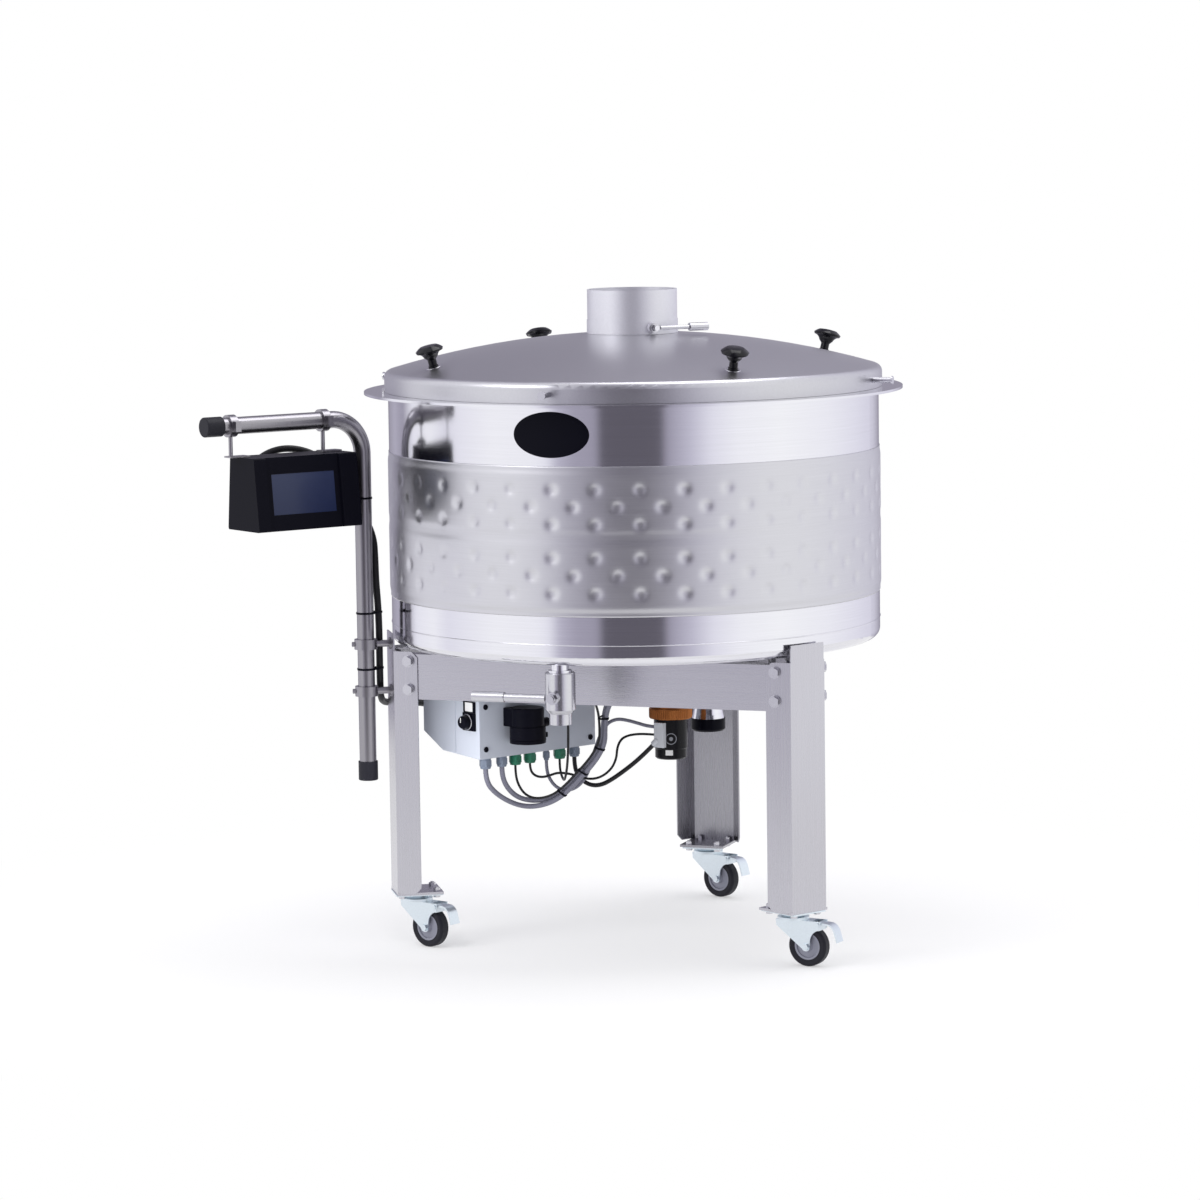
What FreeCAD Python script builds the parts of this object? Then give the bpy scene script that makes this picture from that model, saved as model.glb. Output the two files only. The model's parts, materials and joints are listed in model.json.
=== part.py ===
import FreeCAD, Part
import os
from math import asin, atan2, cos, degrees, pi, radians, sin, sqrt, tan
import Sketcher
from FreeCAD import Placement, Rotation, Vector

# Electric brewing system: a jacketed kettle on a three-legged castor frame, with a lift-off
# hood and flue, a swivelling control arm, an electronics housing and a pump under the kettle.
# Origin: on the kettle's axis, at the floor. Front is -Y (the drain valve), +X is right, +Z is up.
# Azimuths are in degrees from +X, counter-clockwise seen from above.

doc = FreeCAD.newDocument("brewing_system")
sheet = doc.addObject("Spreadsheet::Sheet", "Sizes")

# Driving sizes in millimetres, and angles in degrees
SIZES = [
    ("kettle_radius", 490, "outside of the kettle wall"),
    ("kettle_wall", 3, "sheet of the kettle"),
    ("kettle_bottom", 607, "height of the kettle's flat bottom"),
    ("kettle_top", 1109, "height of the rim flange's top"),
    ("knuckle_radius", 18, "bend between bottom and wall"),
    ("rim_width", 48, "rim flange, outwards from the kettle wall"),
    ("rim_thickness", 5, "rim flange"),
    ("jacket_rise", 95, "from the kettle's bottom up to the jacket's lower edge"),
    ("jacket_field", 152, "lower field of the jacket, up to the middle of its seam"),
    ("jacket_drop", 119, "from the rim's top down to the jacket's upper edge"),
    ("jacket_sheet", 0.8, "sheet of the jacket at its weld seams"),
    ("jacket_bulge", 1.2, "how far the jacket stands out between its seams"),
    ("jacket_seam", 6, "flat width of a jacket weld seam"),
    ("jacket_gap", 0.2, "joint between jacket and wall"),
    ("port_radius", 10.5, "outside of a cooling water nipple"),
    ("port_bore", 8, "bore radius of a cooling water nipple"),
    ("port_length", 34, "nipple, outwards from the kettle wall"),
    ("port_azimuth", 104, "azimuth of the cooling water nipples"),
    ("hood_overhang", 7, "from the kettle's wall out to the outside of the hood's band"),
    ("hood_sheet", 2, "sheet of the hood"),
    ("hood_seat_gap", 0.3, "between rim flange and hood"),
    ("hood_band", 27.6, "height of the hood's band"),
    ("hood_roll", 14, "bend between the hood's band and its dome"),
    ("dome_radius", 1741, "radius of the hood's shallow dome"),
    ("flue_radius", 91, "outside of the flue's lower part"),
    ("spigot_radius", 89.8, "outside of the flue's upper part, where a duct slides on"),
    ("spigot_length", 60, "length of that upper part"),
    ("flue_rise", 196, "from the kettle's rim up to the flue's open end"),
    ("damper_drop", 74, "from the flue's open end down to the damper shaft"),
    ("damper_azimuth", -46, "azimuth at which the damper shaft leaves the flue"),
    ("damper_disc_radius", 72, "damper disc"),
    ("damper_ring_radius", 74, "hole in the ring that the disc closes"),
    ("damper_shaft_radius", 5, "damper shaft"),
    ("damper_lever_length", 115, "from the shaft to the end of the sleeve"),
    ("knob_inset", 63, "from the hood's band in to the circle of its knobs"),
    ("knob_radius", 27.5, "cap of a hood knob"),
    ("knob_height", 45, "hood knob"),
    ("hood_pin_radius", 5.5, "centring pin on the hood's band"),
    ("hood_pin_rise", 17.7, "from the hood's lower edge up to its centring pins"),
    ("sheet_steel", 3, "sheet of legs and beams"),
    ("leg_gap", 10, "from the kettle's wall out to the outer face of a leg's web"),
    ("leg_half_web", 45, "half the width of a leg's web"),
    ("leg_flange", 50, "width of a leg's flange"),
    ("web_rise", 33, "from a leg's flanges up to its web's upper end"),
    ("flange_rise", 5, "from the beams' upper faces up to the flanges' upper ends"),
    ("leg_chamfer", 14, "corner cut off a flange"),
    ("foot_thickness", 5, "foot plate under a leg"),
    ("foot_width", 96, "foot plate, across the leg"),
    ("foot_length", 92, "foot plate, along the radius"),
    ("pad_thickness", 12, "support pad between a beam and the kettle"),
    ("beam_height", 90, "beam"),
    ("beam_lip", 30, "flange of a beam"),
    ("beam_to_fold", 8.5, "from a beam's end to the fold of a leg"),
    ("frame_bolt_radius", 6, "shank of a frame bolt"),
    ("frame_bolt_head", 10.4, "radius over the corners of a frame bolt's head"),
    ("frame_bolt_washer", 12, "washer under a frame bolt's head"),
    ("bolt_to_fold", 31.5, "from the fold of a leg in to its bolts"),
    ("frame_bolt_drop", 14, "from the beams' upper faces down to the upper bolts"),
    ("frame_bolt_rise", 20, "from the beams' lower faces up to the lower bolts"),
    ("bolt_clearance", 0.25, "round a bolt's shank"),
    ("pad_length", 120, "support pad between beam and kettle"),
    ("castor_inset", 45.5, "from a leg's web in to its castor's swivel axis"),
    ("castor_trail", 34, "from swivel axis to wheel axle"),
    ("wheel_radius", 40, "castor wheel"),
    ("wheel_width", 24, "castor tyre"),
    ("wheel_hub_radius", 27, "where hub and tyre meet"),
    ("axle_radius", 4, "wheel axle"),
    ("fork_inner", 14, "from the wheel's middle to the inside of a fork cheek"),
    ("fork_sheet", 3, "sheet of the fork"),
    ("fork_gap", 11, "from a wheel's top up to the fork's top"),
    ("race_height", 14, "from the fork's top up to the castor plate"),
    ("castor_plate_length", 94, "castor plate, along the radius"),
    ("castor_plate_width", 84, "castor plate, across"),
    ("castor_plate_sheet", 3, "castor plate"),
    ("castor_bolt_x", 35, "half the bolt spacing along the radius"),
    ("castor_bolt_y", 31, "half the bolt spacing across"),
    ("castor_bolt_radius", 4, "castor bolt"),
    ("drain_inset", 34, "from the kettle's wall in to the drain's axis"),
    ("drain_bore", 12.5, "radius of the drain's bore"),
    ("neck_radius", 17, "drain neck under the kettle"),
    ("neck_length", 15, "drain neck between kettle and valve"),
    ("valve_radius", 29.5, "valve body"),
    ("valve_height", 74, "valve body, down to where it narrows to its outlet"),
    ("outlet_radius", 21.5, "outlet spigot of the valve"),
    ("outlet_length", 27, "outlet spigot below the valve body"),
    ("stem_drop", 46, "from the valve's top down to its stem"),
    ("stem_radius", 6, "valve stem"),
    ("ball_radius", 19, "valve ball"),
    ("valve_lever_length", 163, "from the stem to the end of the sleeve"),
    ("run_clearance", 0.05, "radial clearance of a shaft in its hole"),
    ("arm_radius", 16.85, "control arm tube"),
    ("arm_wall", 2, "control arm tube"),
    ("arm_offset", 48.6, "from the left leg's web out to the arm's vertical axis"),
    ("arm_azimuth", -125, "direction of the arm's horizontal part"),
    ("arm_height", 1062, "height of the arm's horizontal part"),
    ("arm_tail", 175, "from the lower arm bracket down to the tube's lower end"),
    ("arm_tip", 72, "from the control housing's outer end to the tube's outer end"),
    ("arm_bend", 70, "bend radius at the tube's middle line"),
    ("cap_wall", 2.6, "rubber end cap"),
    ("cap_length", 34, "rubber end cap"),
    ("clamp_drop", 22, "from a leg's upper end down to the upper arm bracket"),
    ("clamp_spacing", 94, "from the upper arm bracket down to the lower one"),
    ("clamp_ring", 6, "thickness of a bracket's ring"),
    ("clamp_height", 20, "height of a bracket's ring"),
    ("clamp_rod", 7, "radius of a bracket's rod"),
    ("box_start", 50, "from the arm's vertical axis to the control housing"),
    ("box_width", 236, "control housing"),
    ("box_height", 143, "control housing"),
    ("box_drop", 62, "from the arm's level part down to the housing's top"),
    ("box_back", -30, "from the arm's plane to the housing's back"),
    ("box_front_top", 58, "from the arm's plane to the front, at the top"),
    ("box_front_low", 74, "from the arm's plane to the front, at the bottom"),
    ("screen_width", 143, "glass of the display"),
    ("screen_height", 79.5, "glass of the display"),
    ("panel_start", 41, "from the housing's inner end to its recessed middle panel"),
    ("panel_width", 167, "recessed middle panel"),
    ("panel_depth", 5, "recessed middle panel"),
    ("hanger_start", 41, "from the housing's inner end to the inner hanger"),
    ("hanger_end", 16, "from the housing's outer end out to the outer hanger"),
    ("hanger_rod", 4, "radius of a hanger's rod"),
    ("housing_length", 301, "electronics housing, along the left beam"),
    ("housing_depth", 177, "electronics housing, towards the left beam"),
    ("housing_height", 116, "electronics housing"),
    ("housing_drop", 5, "from the beams down to the housing's top"),
    ("housing_x", -242, "housing's front corner"),
    ("housing_y", -259, "housing's front corner"),
    ("housing_azimuth", 60, "direction of the housing's long side"),
    ("inlet_along", 92.5, "from the housing's front corner to the power inlet's middle"),
    ("inlet_gap", 2, "between the housing's front face and the inlet's collar"),
    ("inlet_radius", 33, "barrel of the power inlet"),
    ("inlet_height", 64, "power inlet"),
    ("inlet_collar_step", 3, "how far the inlet's collar stands out from its barrel"),
    ("inlet_collar", 26, "height of that collar"),
    ("inlet_rise", 36, "from the housing's lower edge up to the inlet's open end"),
    ("inlet_wall", 4, "wall of the power inlet's barrel"),
    ("inlet_core", 19, "insert with the pins"),
    ("inlet_lid", 6.6, "thickness of the power inlet's lid"),
    ("hinge_pin", 2.5, "radius of the lid's hinge pin"),
    ("hinge_eye", 4.3, "radius of the lid's eye round that pin"),
    ("switch_depth", 29, "from the housing's front corner to the main switch"),
    ("switch_drop", 42, "from the housing's top down to the main switch"),
    ("switch_radius", 13, "knob of the main switch"),
    ("gland_radius", 10, "radius over the corners of a large cable gland"),
    ("gland_length", 24, "cable gland"),
    ("gland_inset", 20, "from the housing's front face to the glands"),
    ("pump_x", 68, "pump"),
    ("pump_y", 8, "pump"),
    ("pump_ring_radius", 42.5, "union ring of the pump"),
    ("pump_ring_height", 21, "union ring of the pump"),
    ("volute_height", 36, "from the union ring up to the pump housing's top"),
    ("pump_drop", 107, "from the kettle's bottom down to the pump housing's top"),
    ("motor_radius", 34, "pump motor"),
    ("motor_length", 82, "pump motor"),
    ("pipe_radius", 17, "pump pipework"),
    ("pipe_wall", 2, "pump pipework"),
    ("return_offset", 92, "from the pump's suction pipe to its return pipe"),
    ("cleanout_x", 104, "clean-out socket"),
    ("cleanout_y", 142, "clean-out socket"),
    ("cleanout_bore", 26, "bore radius of the clean-out socket"),
    ("cleanout_drop", 181, "from the kettle's bottom down to the clean-out socket's end"),
    ("cleanout_cap_radius", 35, "screw cap of the clean-out socket"),
    ("malt_pipe_gap", 53, "from the heating coil's circle in to the malt pipe"),
    ("malt_pipe_wall", 2, "sheet of the malt pipe"),
    ("malt_pipe_foot", 30, "from the kettle's floor up to the malt pipe's lower edge"),
    ("malt_pipe_drop", 79, "from the rim's top down to the malt pipe's upper edge"),
    ("sieve_sheet", 3, "sieve plates"),
    ("sieve_lift", 22, "from the malt pipe's lower edge up to the lower sieve plate"),
    ("sieve_drop", 55, "from the malt pipe's upper edge down to the upper sieve plate"),
    ("rod_radius", 9, "hold-down rod"),
    ("rod_rise", 62, "from the malt pipe's upper edge to the hold-down rod's end"),
    ("bar_overhang", 8, "how far the hold-down bar reaches over the malt pipe's side"),
    ("coil_inset", 65, "from the kettle's wall in to the heating coil's circle"),
    ("coil_rod", 8, "half the width of the heating element"),
    ("coil_lift", 24, "from the kettle's floor to the middle of the heating coil"),
    ("probe_radius", 4, "temperature probe"),
    ("probe_length", 28, "temperature probe, up from the kettle's bottom"),
    ("probe_x", -76, "temperature probe"),
    ("probe_y", -192, "temperature probe"),
]
for row, (alias, amount, note) in enumerate(SIZES, start=1):
    sheet.set(f"A{row}", alias)
    sheet.set(f"B{row}", str(amount))
    sheet.set(f"C{row}", note)
    sheet.setAlias(f"B{row}", alias)
doc.recompute()


class Size:
    """A length or angle worked out from the sheet: its value, and the expression that gives it."""

    def __init__(self, value, text):
        self.value, self.text = value, text

    def __add__(self, other):
        other = as_size(other)
        return Size(self.value + other.value, f"({self.text} + {other.text})")

    def __sub__(self, other):
        other = as_size(other)
        return Size(self.value - other.value, f"({self.text} - {other.text})")

    def __mul__(self, other):
        other = as_size(other)
        return Size(self.value * other.value, f"({self.text} * {other.text})")

    def __truediv__(self, other):
        other = as_size(other)
        return Size(self.value / other.value, f"({self.text} / {other.text})")

    def __radd__(self, other):
        return as_size(other) + self

    def __rsub__(self, other):
        return as_size(other) - self

    def __rmul__(self, other):
        return as_size(other) * self

    def __neg__(self):
        return Size(-self.value, f"(-1 * {self.text})")


def as_size(amount):
    return amount if isinstance(amount, Size) else Size(float(amount), f"({float(amount):.9f})")


def value(amount):
    return amount.value if isinstance(amount, Size) else float(amount)


class Sheet:
    """The sheet's cells by their names, each as a Size."""

    def __getattr__(self, alias):
        return Size(float(sheet.get(alias)), f"Sizes.{alias}")


s = Sheet()
X, Y, Z = Vector(1, 0, 0), Vector(0, 1, 0), Vector(0, 0, 1)


# Helpers that make the document's objects

def bind(item, name, amount):
    """Set a length, and tie it to the sheet where it comes from there."""
    if isinstance(amount, Size):
        item.setExpression(name, amount.text)
    else:
        setattr(item, name, amount)


def place(item, at=(0, 0, 0), turn=None):
    """Put an object at a point, tied to the sheet, with an optional rotation."""
    item.Placement = Placement(Vector(*[value(a) for a in at]), turn or Rotation())
    for letter, amount in zip("xyz", at):
        if isinstance(amount, Size):
            item.setExpression(f".Placement.Base.{letter}", amount.text)
    return item


def axes(x_axis, z_axis):
    """The rotation that takes X and Z to two given directions at right angles."""
    return Rotation(x_axis, z_axis.cross(x_axis), z_axis, "ZXY")


def compass(azimuth):
    """The level unit vector at an azimuth in degrees."""
    angle = radians(value(azimuth))
    return Vector(cos(angle), sin(angle), 0)


def polar(radius, azimuth):
    """x and y of a point at a radius and azimuth."""
    direction = compass(azimuth)
    return radius * direction.x, radius * direction.y


def named(item, label):
    item.Label = label
    return item


def outline(body, corners, plane="XY_Plane"):
    """A closed sketch through the corners (x, y). In (x, y, r) the run to the next corner is an arc
    of radius r, counter-clockwise, or clockwise where r is negative."""
    sketch = body.newObject("Sketcher::SketchObject", "outline")
    origin = next(o for o in body.Origin.OriginFeatures if o.Role == plane)
    sketch.AttachmentSupport = [(origin, "")]
    sketch.MapMode = "FlatFace"
    points = [Vector(value(c[0]), value(c[1]), 0) for c in corners]
    ends = []
    for i, corner in enumerate(corners):
        a, b = points[i], points[(i + 1) % len(points)]
        if len(corner) < 3:
            geo = sketch.addGeometry(Part.LineSegment(a, b), False)
            ends.append((geo, 1, 2))
            continue
        radius, half = abs(value(corner[2])), (b - a) * 0.5
        side = 1 if value(corner[2]) > 0 else -1
        left = Z.cross(half).normalize() * side
        centre = a + half + left * sqrt(max(radius ** 2 - half.Length ** 2, 0))
        first, last = (a, b) if side > 0 else (b, a)
        start = atan2(first.y - centre.y, first.x - centre.x)
        end = atan2(last.y - centre.y, last.x - centre.x)
        arc = Part.ArcOfCircle(Part.Circle(centre, Z, radius), start, end)
        geo = sketch.addGeometry(arc, False)
        ends.append((geo, 1, 2) if side > 0 else (geo, 2, 1))
        index = sketch.addConstraint(Sketcher.Constraint("Radius", geo, radius))
        if isinstance(corner[2], Size):
            text = corner[2].text if side > 0 else f"(-1 * {corner[2].text})"
            sketch.setExpression(f"Constraints[{index}]", text)
    for i, (corner, (geo, start, end)) in enumerate(zip(corners, ends)):
        following, other, _ = ends[(i + 1) % len(ends)]
        sketch.addConstraint(Sketcher.Constraint("Coincident", geo, end, following, other))
        for kind, axis, amount in (("DistanceX", -2, corner[0]), ("DistanceY", -1, corner[1])):
            if value(amount) == 0 and not isinstance(amount, Size):
                sketch.addConstraint(Sketcher.Constraint("PointOnObject", geo, start, axis))
                continue
            rule = Sketcher.Constraint(kind, -1, 1, geo, start, value(amount))
            index = sketch.addConstraint(rule)
            if isinstance(amount, Size):
                sketch.setExpression(f"Constraints[{index}]", amount.text)
    return sketch


def turned(label, corners):
    """A body of revolution about Z from a profile of (radius, height)."""
    body = doc.addObject("PartDesign::Body", label)
    sketch = outline(body, corners, "XZ_Plane")
    turn = body.newObject("PartDesign::Revolution", "turn")
    turn.Profile = sketch
    turn.ReferenceAxis = (sketch, ["V_Axis"])
    turn.Angle = 360
    sketch.Visibility = False
    return body


def plate(label, corners, thickness):
    """A body padded up from an outline in its own XY plane."""
    body = doc.addObject("PartDesign::Body", label)
    sketch = outline(body, corners)
    pad = body.newObject("PartDesign::Pad", "pad")
    pad.Profile = sketch
    bind(pad, "Length", thickness)
    sketch.Visibility = False
    return body


def block(length, width, height, at=(0, 0, 0), turn=None):
    item = doc.addObject("Part::Box", "block")
    bind(item, "Length", length)
    bind(item, "Width", width)
    bind(item, "Height", height)
    return place(item, at, turn)


def rod(radius, length, at=(0, 0, 0), direction=Z):
    item = doc.addObject("Part::Cylinder", "rod")
    bind(item, "Radius", radius)
    bind(item, "Height", length)
    return place(item, at, Rotation(Z, direction))


def cone(low, high, length, at=(0, 0, 0), direction=Z):
    item = doc.addObject("Part::Cone", "cone")
    bind(item, "Radius1", low)
    bind(item, "Radius2", high)
    bind(item, "Height", length)
    return place(item, at, Rotation(Z, direction))


def hexagon(radius, length, at=(0, 0, 0), direction=Z):
    item = doc.addObject("Part::Prism", "hexagon")
    item.Polygon = 6
    bind(item, "Circumradius", radius)
    bind(item, "Height", length)
    return place(item, at, Rotation(Z, direction))


def ball(radius, at=(0, 0, 0)):
    item = doc.addObject("Part::Sphere", "ball")
    bind(item, "Radius", radius)
    return place(item, at)


def join(label, *pieces):
    item = doc.addObject("Part::MultiFuse", label)
    item.Shapes = list(pieces)
    return named(item, label)


def cut(label, base, *tools):
    item = doc.addObject("Part::Cut", label)
    item.Base = base
    item.Tool = tools[0] if len(tools) == 1 else join(label + "_tools", *tools)
    return named(item, label)


def group(label, *pieces):
    """One node of several separate solids."""
    item = doc.addObject("Part::Compound", label)
    item.Links = list(pieces)
    return named(item, label)


def bent_path(points, radius=None):
    """Straight runs joined by tangent arcs. With no radius, each arc is as large as its runs allow."""
    edges, radii, start = [], [], points[0]
    for before, corner, after in zip(points, points[1:], points[2:]):
        way_in, way_out = corner - before, after - corner
        turn = way_in.getAngle(way_out)
        reach = 0.45 * min(way_in.Length, way_out.Length)
        bend = radius or reach / tan(turn / 2)
        reach = bend * tan(turn / 2)
        way_in.normalize()
        way_out.normalize()
        a, b = corner - way_in * reach, corner + way_out * reach
        inward = (way_out - way_in).normalize()
        middle = corner + inward * (bend / cos(turn / 2) - bend)
        edges.append(Part.LineSegment(start, a).toShape())
        edges.append(Part.Arc(a, middle, b).toShape())
        radii.append(bend)
        start = b
    edges.append(Part.LineSegment(start, points[-1]).toShape())
    return Part.Wire(edges), radii


def swept(points, profile_points=None, radius=0, bend=None):
    """A tube of a round or polygonal section along a bent path."""
    path, radii = bent_path(points, bend)
    direction = (points[1] - points[0]).normalize()
    if profile_points:
        side = direction.cross(Z if abs(direction.z) < 0.9 else X).normalize()
        up = direction.cross(side)
        ring = [points[0] + (side * cos(t) + up * sin(t)) * radius
                for t in [2 * pi * (k + 0.5) / profile_points for k in range(profile_points + 1)]]
        profile = Part.Wire(Part.makePolygon(ring).Edges)
    else:
        profile = Part.Wire(Part.Circle(points[0], direction, radius).toShape())
    return path.makePipeShell([profile], True, True), path, radii


def feature(label, shape):
    item = doc.addObject("Part::Feature", label)
    item.Shape = shape
    return named(item, label)


CORD_SIDES = 8


def cord(label, route, radius):
    """A plain cable along its route, with its radii printed and its volume compared."""
    points = [Vector(*point) for point in route]
    shape, path, radii = swept(points, CORD_SIDES, radius)
    section = CORD_SIDES / 2 * sin(2 * pi / CORD_SIDES) * radius ** 2
    error = abs(shape.Volume / (section * path.Length) - 1)
    print(label, "length", round(path.Length), "radii", [round(r) for r in radii])
    if error > 0.02 or not shape.isValid():
        raise ValueError(f"{label}: the cable's volume is off by {error:.1%}")
    return shape


SIN60, COS60, TAN30 = sin(pi / 3), 0.5, tan(pi / 6)
LEG_AZIMUTHS = {"left": -150, "right": -30, "rear": 90}
BEAM_AZIMUTHS = {"front": -90, "right": 30, "left": 150}

# Kettle: one spun shell with a knuckle at the bottom and a flat rim flange
inner_radius = s.kettle_radius - s.kettle_wall
rim_radius = s.kettle_radius + s.rim_width
knuckle_start = s.kettle_radius - s.knuckle_radius
floor_inside = s.kettle_bottom + s.kettle_wall
kettle_shell = turned("kettle_shell", [
    (0, s.kettle_bottom),
    (knuckle_start, s.kettle_bottom, s.knuckle_radius),
    (s.kettle_radius, s.kettle_bottom + s.knuckle_radius),
    (s.kettle_radius, s.kettle_top - s.rim_thickness),
    (rim_radius, s.kettle_top - s.rim_thickness),
    (rim_radius, s.kettle_top),
    (inner_radius, s.kettle_top),
    (inner_radius, s.kettle_bottom + s.knuckle_radius, -(s.knuckle_radius - s.kettle_wall)),
    (knuckle_start, floor_inside),
    (0, floor_inside),
])
through = s.kettle_wall + 20
hole_floor = s.kettle_bottom - 10
return_y = s.pump_y + s.return_offset
drain_y = s.drain_inset - s.kettle_radius
pipe_hole = s.pipe_radius + s.run_clearance
COIL_GAP, COIL_AZIMUTH, COIL_TAIL = 3, -30, 14
coil_radius = s.kettle_radius - s.coil_inset
coil_ends = [polar(coil_radius, COIL_AZIMUTH + side * COIL_GAP) for side in (-1, 1)]
coil_leg = s.coil_rod - 0.5
kettle = cut(
    "kettle", kettle_shell,
    rod(s.drain_bore, through, (0, drain_y, hole_floor)),
    rod(pipe_hole, through, (s.pump_x, s.pump_y, hole_floor)),
    rod(pipe_hole, through, (s.pump_x, return_y, hole_floor)),
    rod(s.cleanout_bore, through, (s.cleanout_x, s.cleanout_y, hole_floor)),
    *[rod(coil_leg + s.run_clearance, through, (x, y, hole_floor)) for x, y in coil_ends],
    rod(s.probe_radius + s.run_clearance, through, (s.probe_x, s.probe_y, hole_floor)),
)

# Cooling jacket: two swollen fields between three weld seams, with its two water nipples
jacket_bottom = s.kettle_bottom + s.jacket_rise
jacket_middle = jacket_bottom + s.jacket_field
jacket_top = s.kettle_top - s.jacket_drop
jacket_in = s.kettle_radius + s.jacket_gap
jacket_low = jacket_in + s.jacket_sheet
jacket_high = jacket_low + s.jacket_bulge
seam = s.jacket_seam
SWELL = 3
jacket_shell = turned("jacket_shell", [
    (jacket_in, jacket_bottom),
    (jacket_low, jacket_bottom),
    (jacket_low, jacket_bottom + seam),
    (jacket_high, jacket_bottom + seam + SWELL),
    (jacket_high, jacket_middle - seam / 2 - SWELL),
    (jacket_low, jacket_middle - seam / 2),
    (jacket_low, jacket_middle + seam / 2),
    (jacket_high, jacket_middle + seam / 2 + SWELL),
    (jacket_high, jacket_top - seam - SWELL),
    (jacket_low, jacket_top - seam),
    (jacket_low, jacket_top),
    (jacket_in, jacket_top),
])
port_heights = (jacket_bottom + 30, jacket_top - 30)
port_start = s.kettle_radius + 0.5
port_places = [(*polar(port_start, s.port_azimuth), height) for height in port_heights]
outward = compass(s.port_azimuth)
cooling_jacket = cut(
    "cooling_jacket",
    join("jacket_with_ports", jacket_shell,
         *[rod(s.port_radius, s.port_length, at, outward) for at in port_places]),
    *[rod(s.port_bore, s.port_length + 10, at, outward) for at in port_places],
)

# Hood: a band and a shallow dome, open at the flue
hood_radius = s.kettle_radius + s.hood_overhang
band_bottom = s.kettle_top + s.hood_seat_gap
band_top = band_bottom + s.hood_band


def crown(edge, rise):
    """The radius of a shallow dome that rises by so much from its edge to its middle."""
    return (edge * edge + rise * rise) / (2 * rise)


def dome_rise(radius):
    """How far the dome stands above its sphere's centre at a radius."""
    text = f"sqrt({s.dome_radius.text} ^ 2 - {as_size(radius).text} ^ 2)"
    return Size(sqrt(value(s.dome_radius) ** 2 - value(radius) ** 2), text)


# The bend between band and dome is tangent to both
roll_centre = hood_radius - s.hood_roll
dome_edge = roll_centre * s.dome_radius / (s.dome_radius - s.hood_roll)
dome_centre = band_top - dome_rise(dome_edge) * (s.dome_radius - s.hood_roll) / s.dome_radius
inside = (s.dome_radius - s.hood_sheet) / s.dome_radius
FLUE_SHEET = 1.5
flue_inner = s.spigot_radius - FLUE_SHEET
flue_base = dome_centre + dome_rise(flue_inner)
hood = named(turned("hood", [
    (hood_radius - s.hood_sheet, band_bottom),
    (hood_radius, band_bottom),
    (hood_radius, band_top, s.hood_roll),
    (dome_edge, dome_centre + dome_rise(dome_edge), s.dome_radius),
    (flue_inner, flue_base),
    (flue_inner, flue_base - s.hood_sheet, -(s.dome_radius - s.hood_sheet)),
    (dome_edge * inside, dome_centre + dome_rise(dome_edge) * inside, -(s.hood_roll - s.hood_sheet)),
    (hood_radius - s.hood_sheet, band_top),
]), "hood")

# Flue: lower part with the damper's ring and bush, and a spigot for a duct
flue_top = s.kettle_top + s.flue_rise
spigot_base = flue_top - s.spigot_length
damper_height = flue_top - s.damper_drop
flue_foot = flue_base + 0.2
damper_out = compass(s.damper_azimuth)
ring_half = 1.0
flue_wall = turned("flue_wall", [
    (flue_inner, flue_foot),
    (s.flue_radius, flue_foot),
    (s.flue_radius, spigot_base),
    (s.spigot_radius, spigot_base),
    (s.spigot_radius, flue_top),
    (flue_inner, flue_top),
    (flue_inner, damper_height + ring_half),
    (s.damper_ring_radius, damper_height + ring_half),
    (s.damper_ring_radius, damper_height - ring_half),
    (flue_inner, damper_height - ring_half),
])
BUSH_RADIUS, BUSH_LENGTH = 11, 12
bush_start = polar(s.flue_radius - 1, s.damper_azimuth)
shaft_tail = s.flue_radius + 3
shaft_length = shaft_tail + s.flue_radius + 24
tail = polar(-shaft_tail, s.damper_azimuth)
flue_pipe = cut(
    "flue_pipe",
    join("flue_with_bush", flue_wall,
         rod(BUSH_RADIUS, BUSH_LENGTH, (*bush_start, damper_height), damper_out)),
    rod(s.damper_shaft_radius + s.run_clearance, shaft_length + 20,
        (*polar(-shaft_tail - 5, s.damper_azimuth), damper_height), damper_out),
)

# Hood knobs: mushroom caps on flared stems, square to the dome
knobs = []
knob_circle = hood_radius - s.knob_inset
knob_foot = dome_centre + dome_rise(knob_circle)
knob_tilt = degrees(asin(value(knob_circle) / value(s.dome_radius)))
for azimuth in (-135, -45, 45, 135):
    knob = turned("hood_knob", [
        (0, 0.3),
        (10, 0.3),
        (10, 4),
        (8.5, 5),
        (8.5, 16),
        (14, s.knob_height - 23, -14),
        (s.knob_radius - 1.5, s.knob_height - 13),
        (s.knob_radius, s.knob_height - 9, 40),
        (s.knob_radius - 10, s.knob_height - 1.5, crown(s.knob_radius - 10, as_size(1.5))),
        (0, s.knob_height),
    ])
    tilt = Rotation(Z, azimuth).multiply(Rotation(Y, knob_tilt))
    place(knob, (*polar(knob_circle, azimuth), knob_foot), tilt)
    knobs.append(knob)
hood_knobs = group("hood_knobs", *knobs)

# Centring pins: four short pins on the band that reach the edge of the rim flange
pins = []
pin_start = hood_radius + 0.2
pin_height = band_bottom + s.hood_pin_rise
pin_length = rim_radius - pin_start
for azimuth in (-90, 0, 90, 180):
    start = (*polar(pin_start, azimuth), pin_height)
    end = (*polar(rim_radius - 3, azimuth), pin_height)
    pins.append(join("hood_pin", rod(s.hood_pin_radius, pin_length, start, compass(azimuth)),
                     rod(s.hood_pin_radius + 2.5, 3, end, compass(azimuth))))
hood_pins = group("hood_pins", *pins)

# Damper: a disc on a shaft through the flue, turned by a lever with a sleeve
damper_disc = join(
    "damper_disc",
    rod(s.damper_disc_radius, 2, (0, 0, damper_height - 1)),
    rod(s.damper_shaft_radius, shaft_length, (*tail, damper_height), damper_out),
)
lever_plane = s.flue_radius + BUSH_LENGTH + 1
lever_turn = axes(compass(value(s.damper_azimuth) + 90), damper_out)


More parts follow.
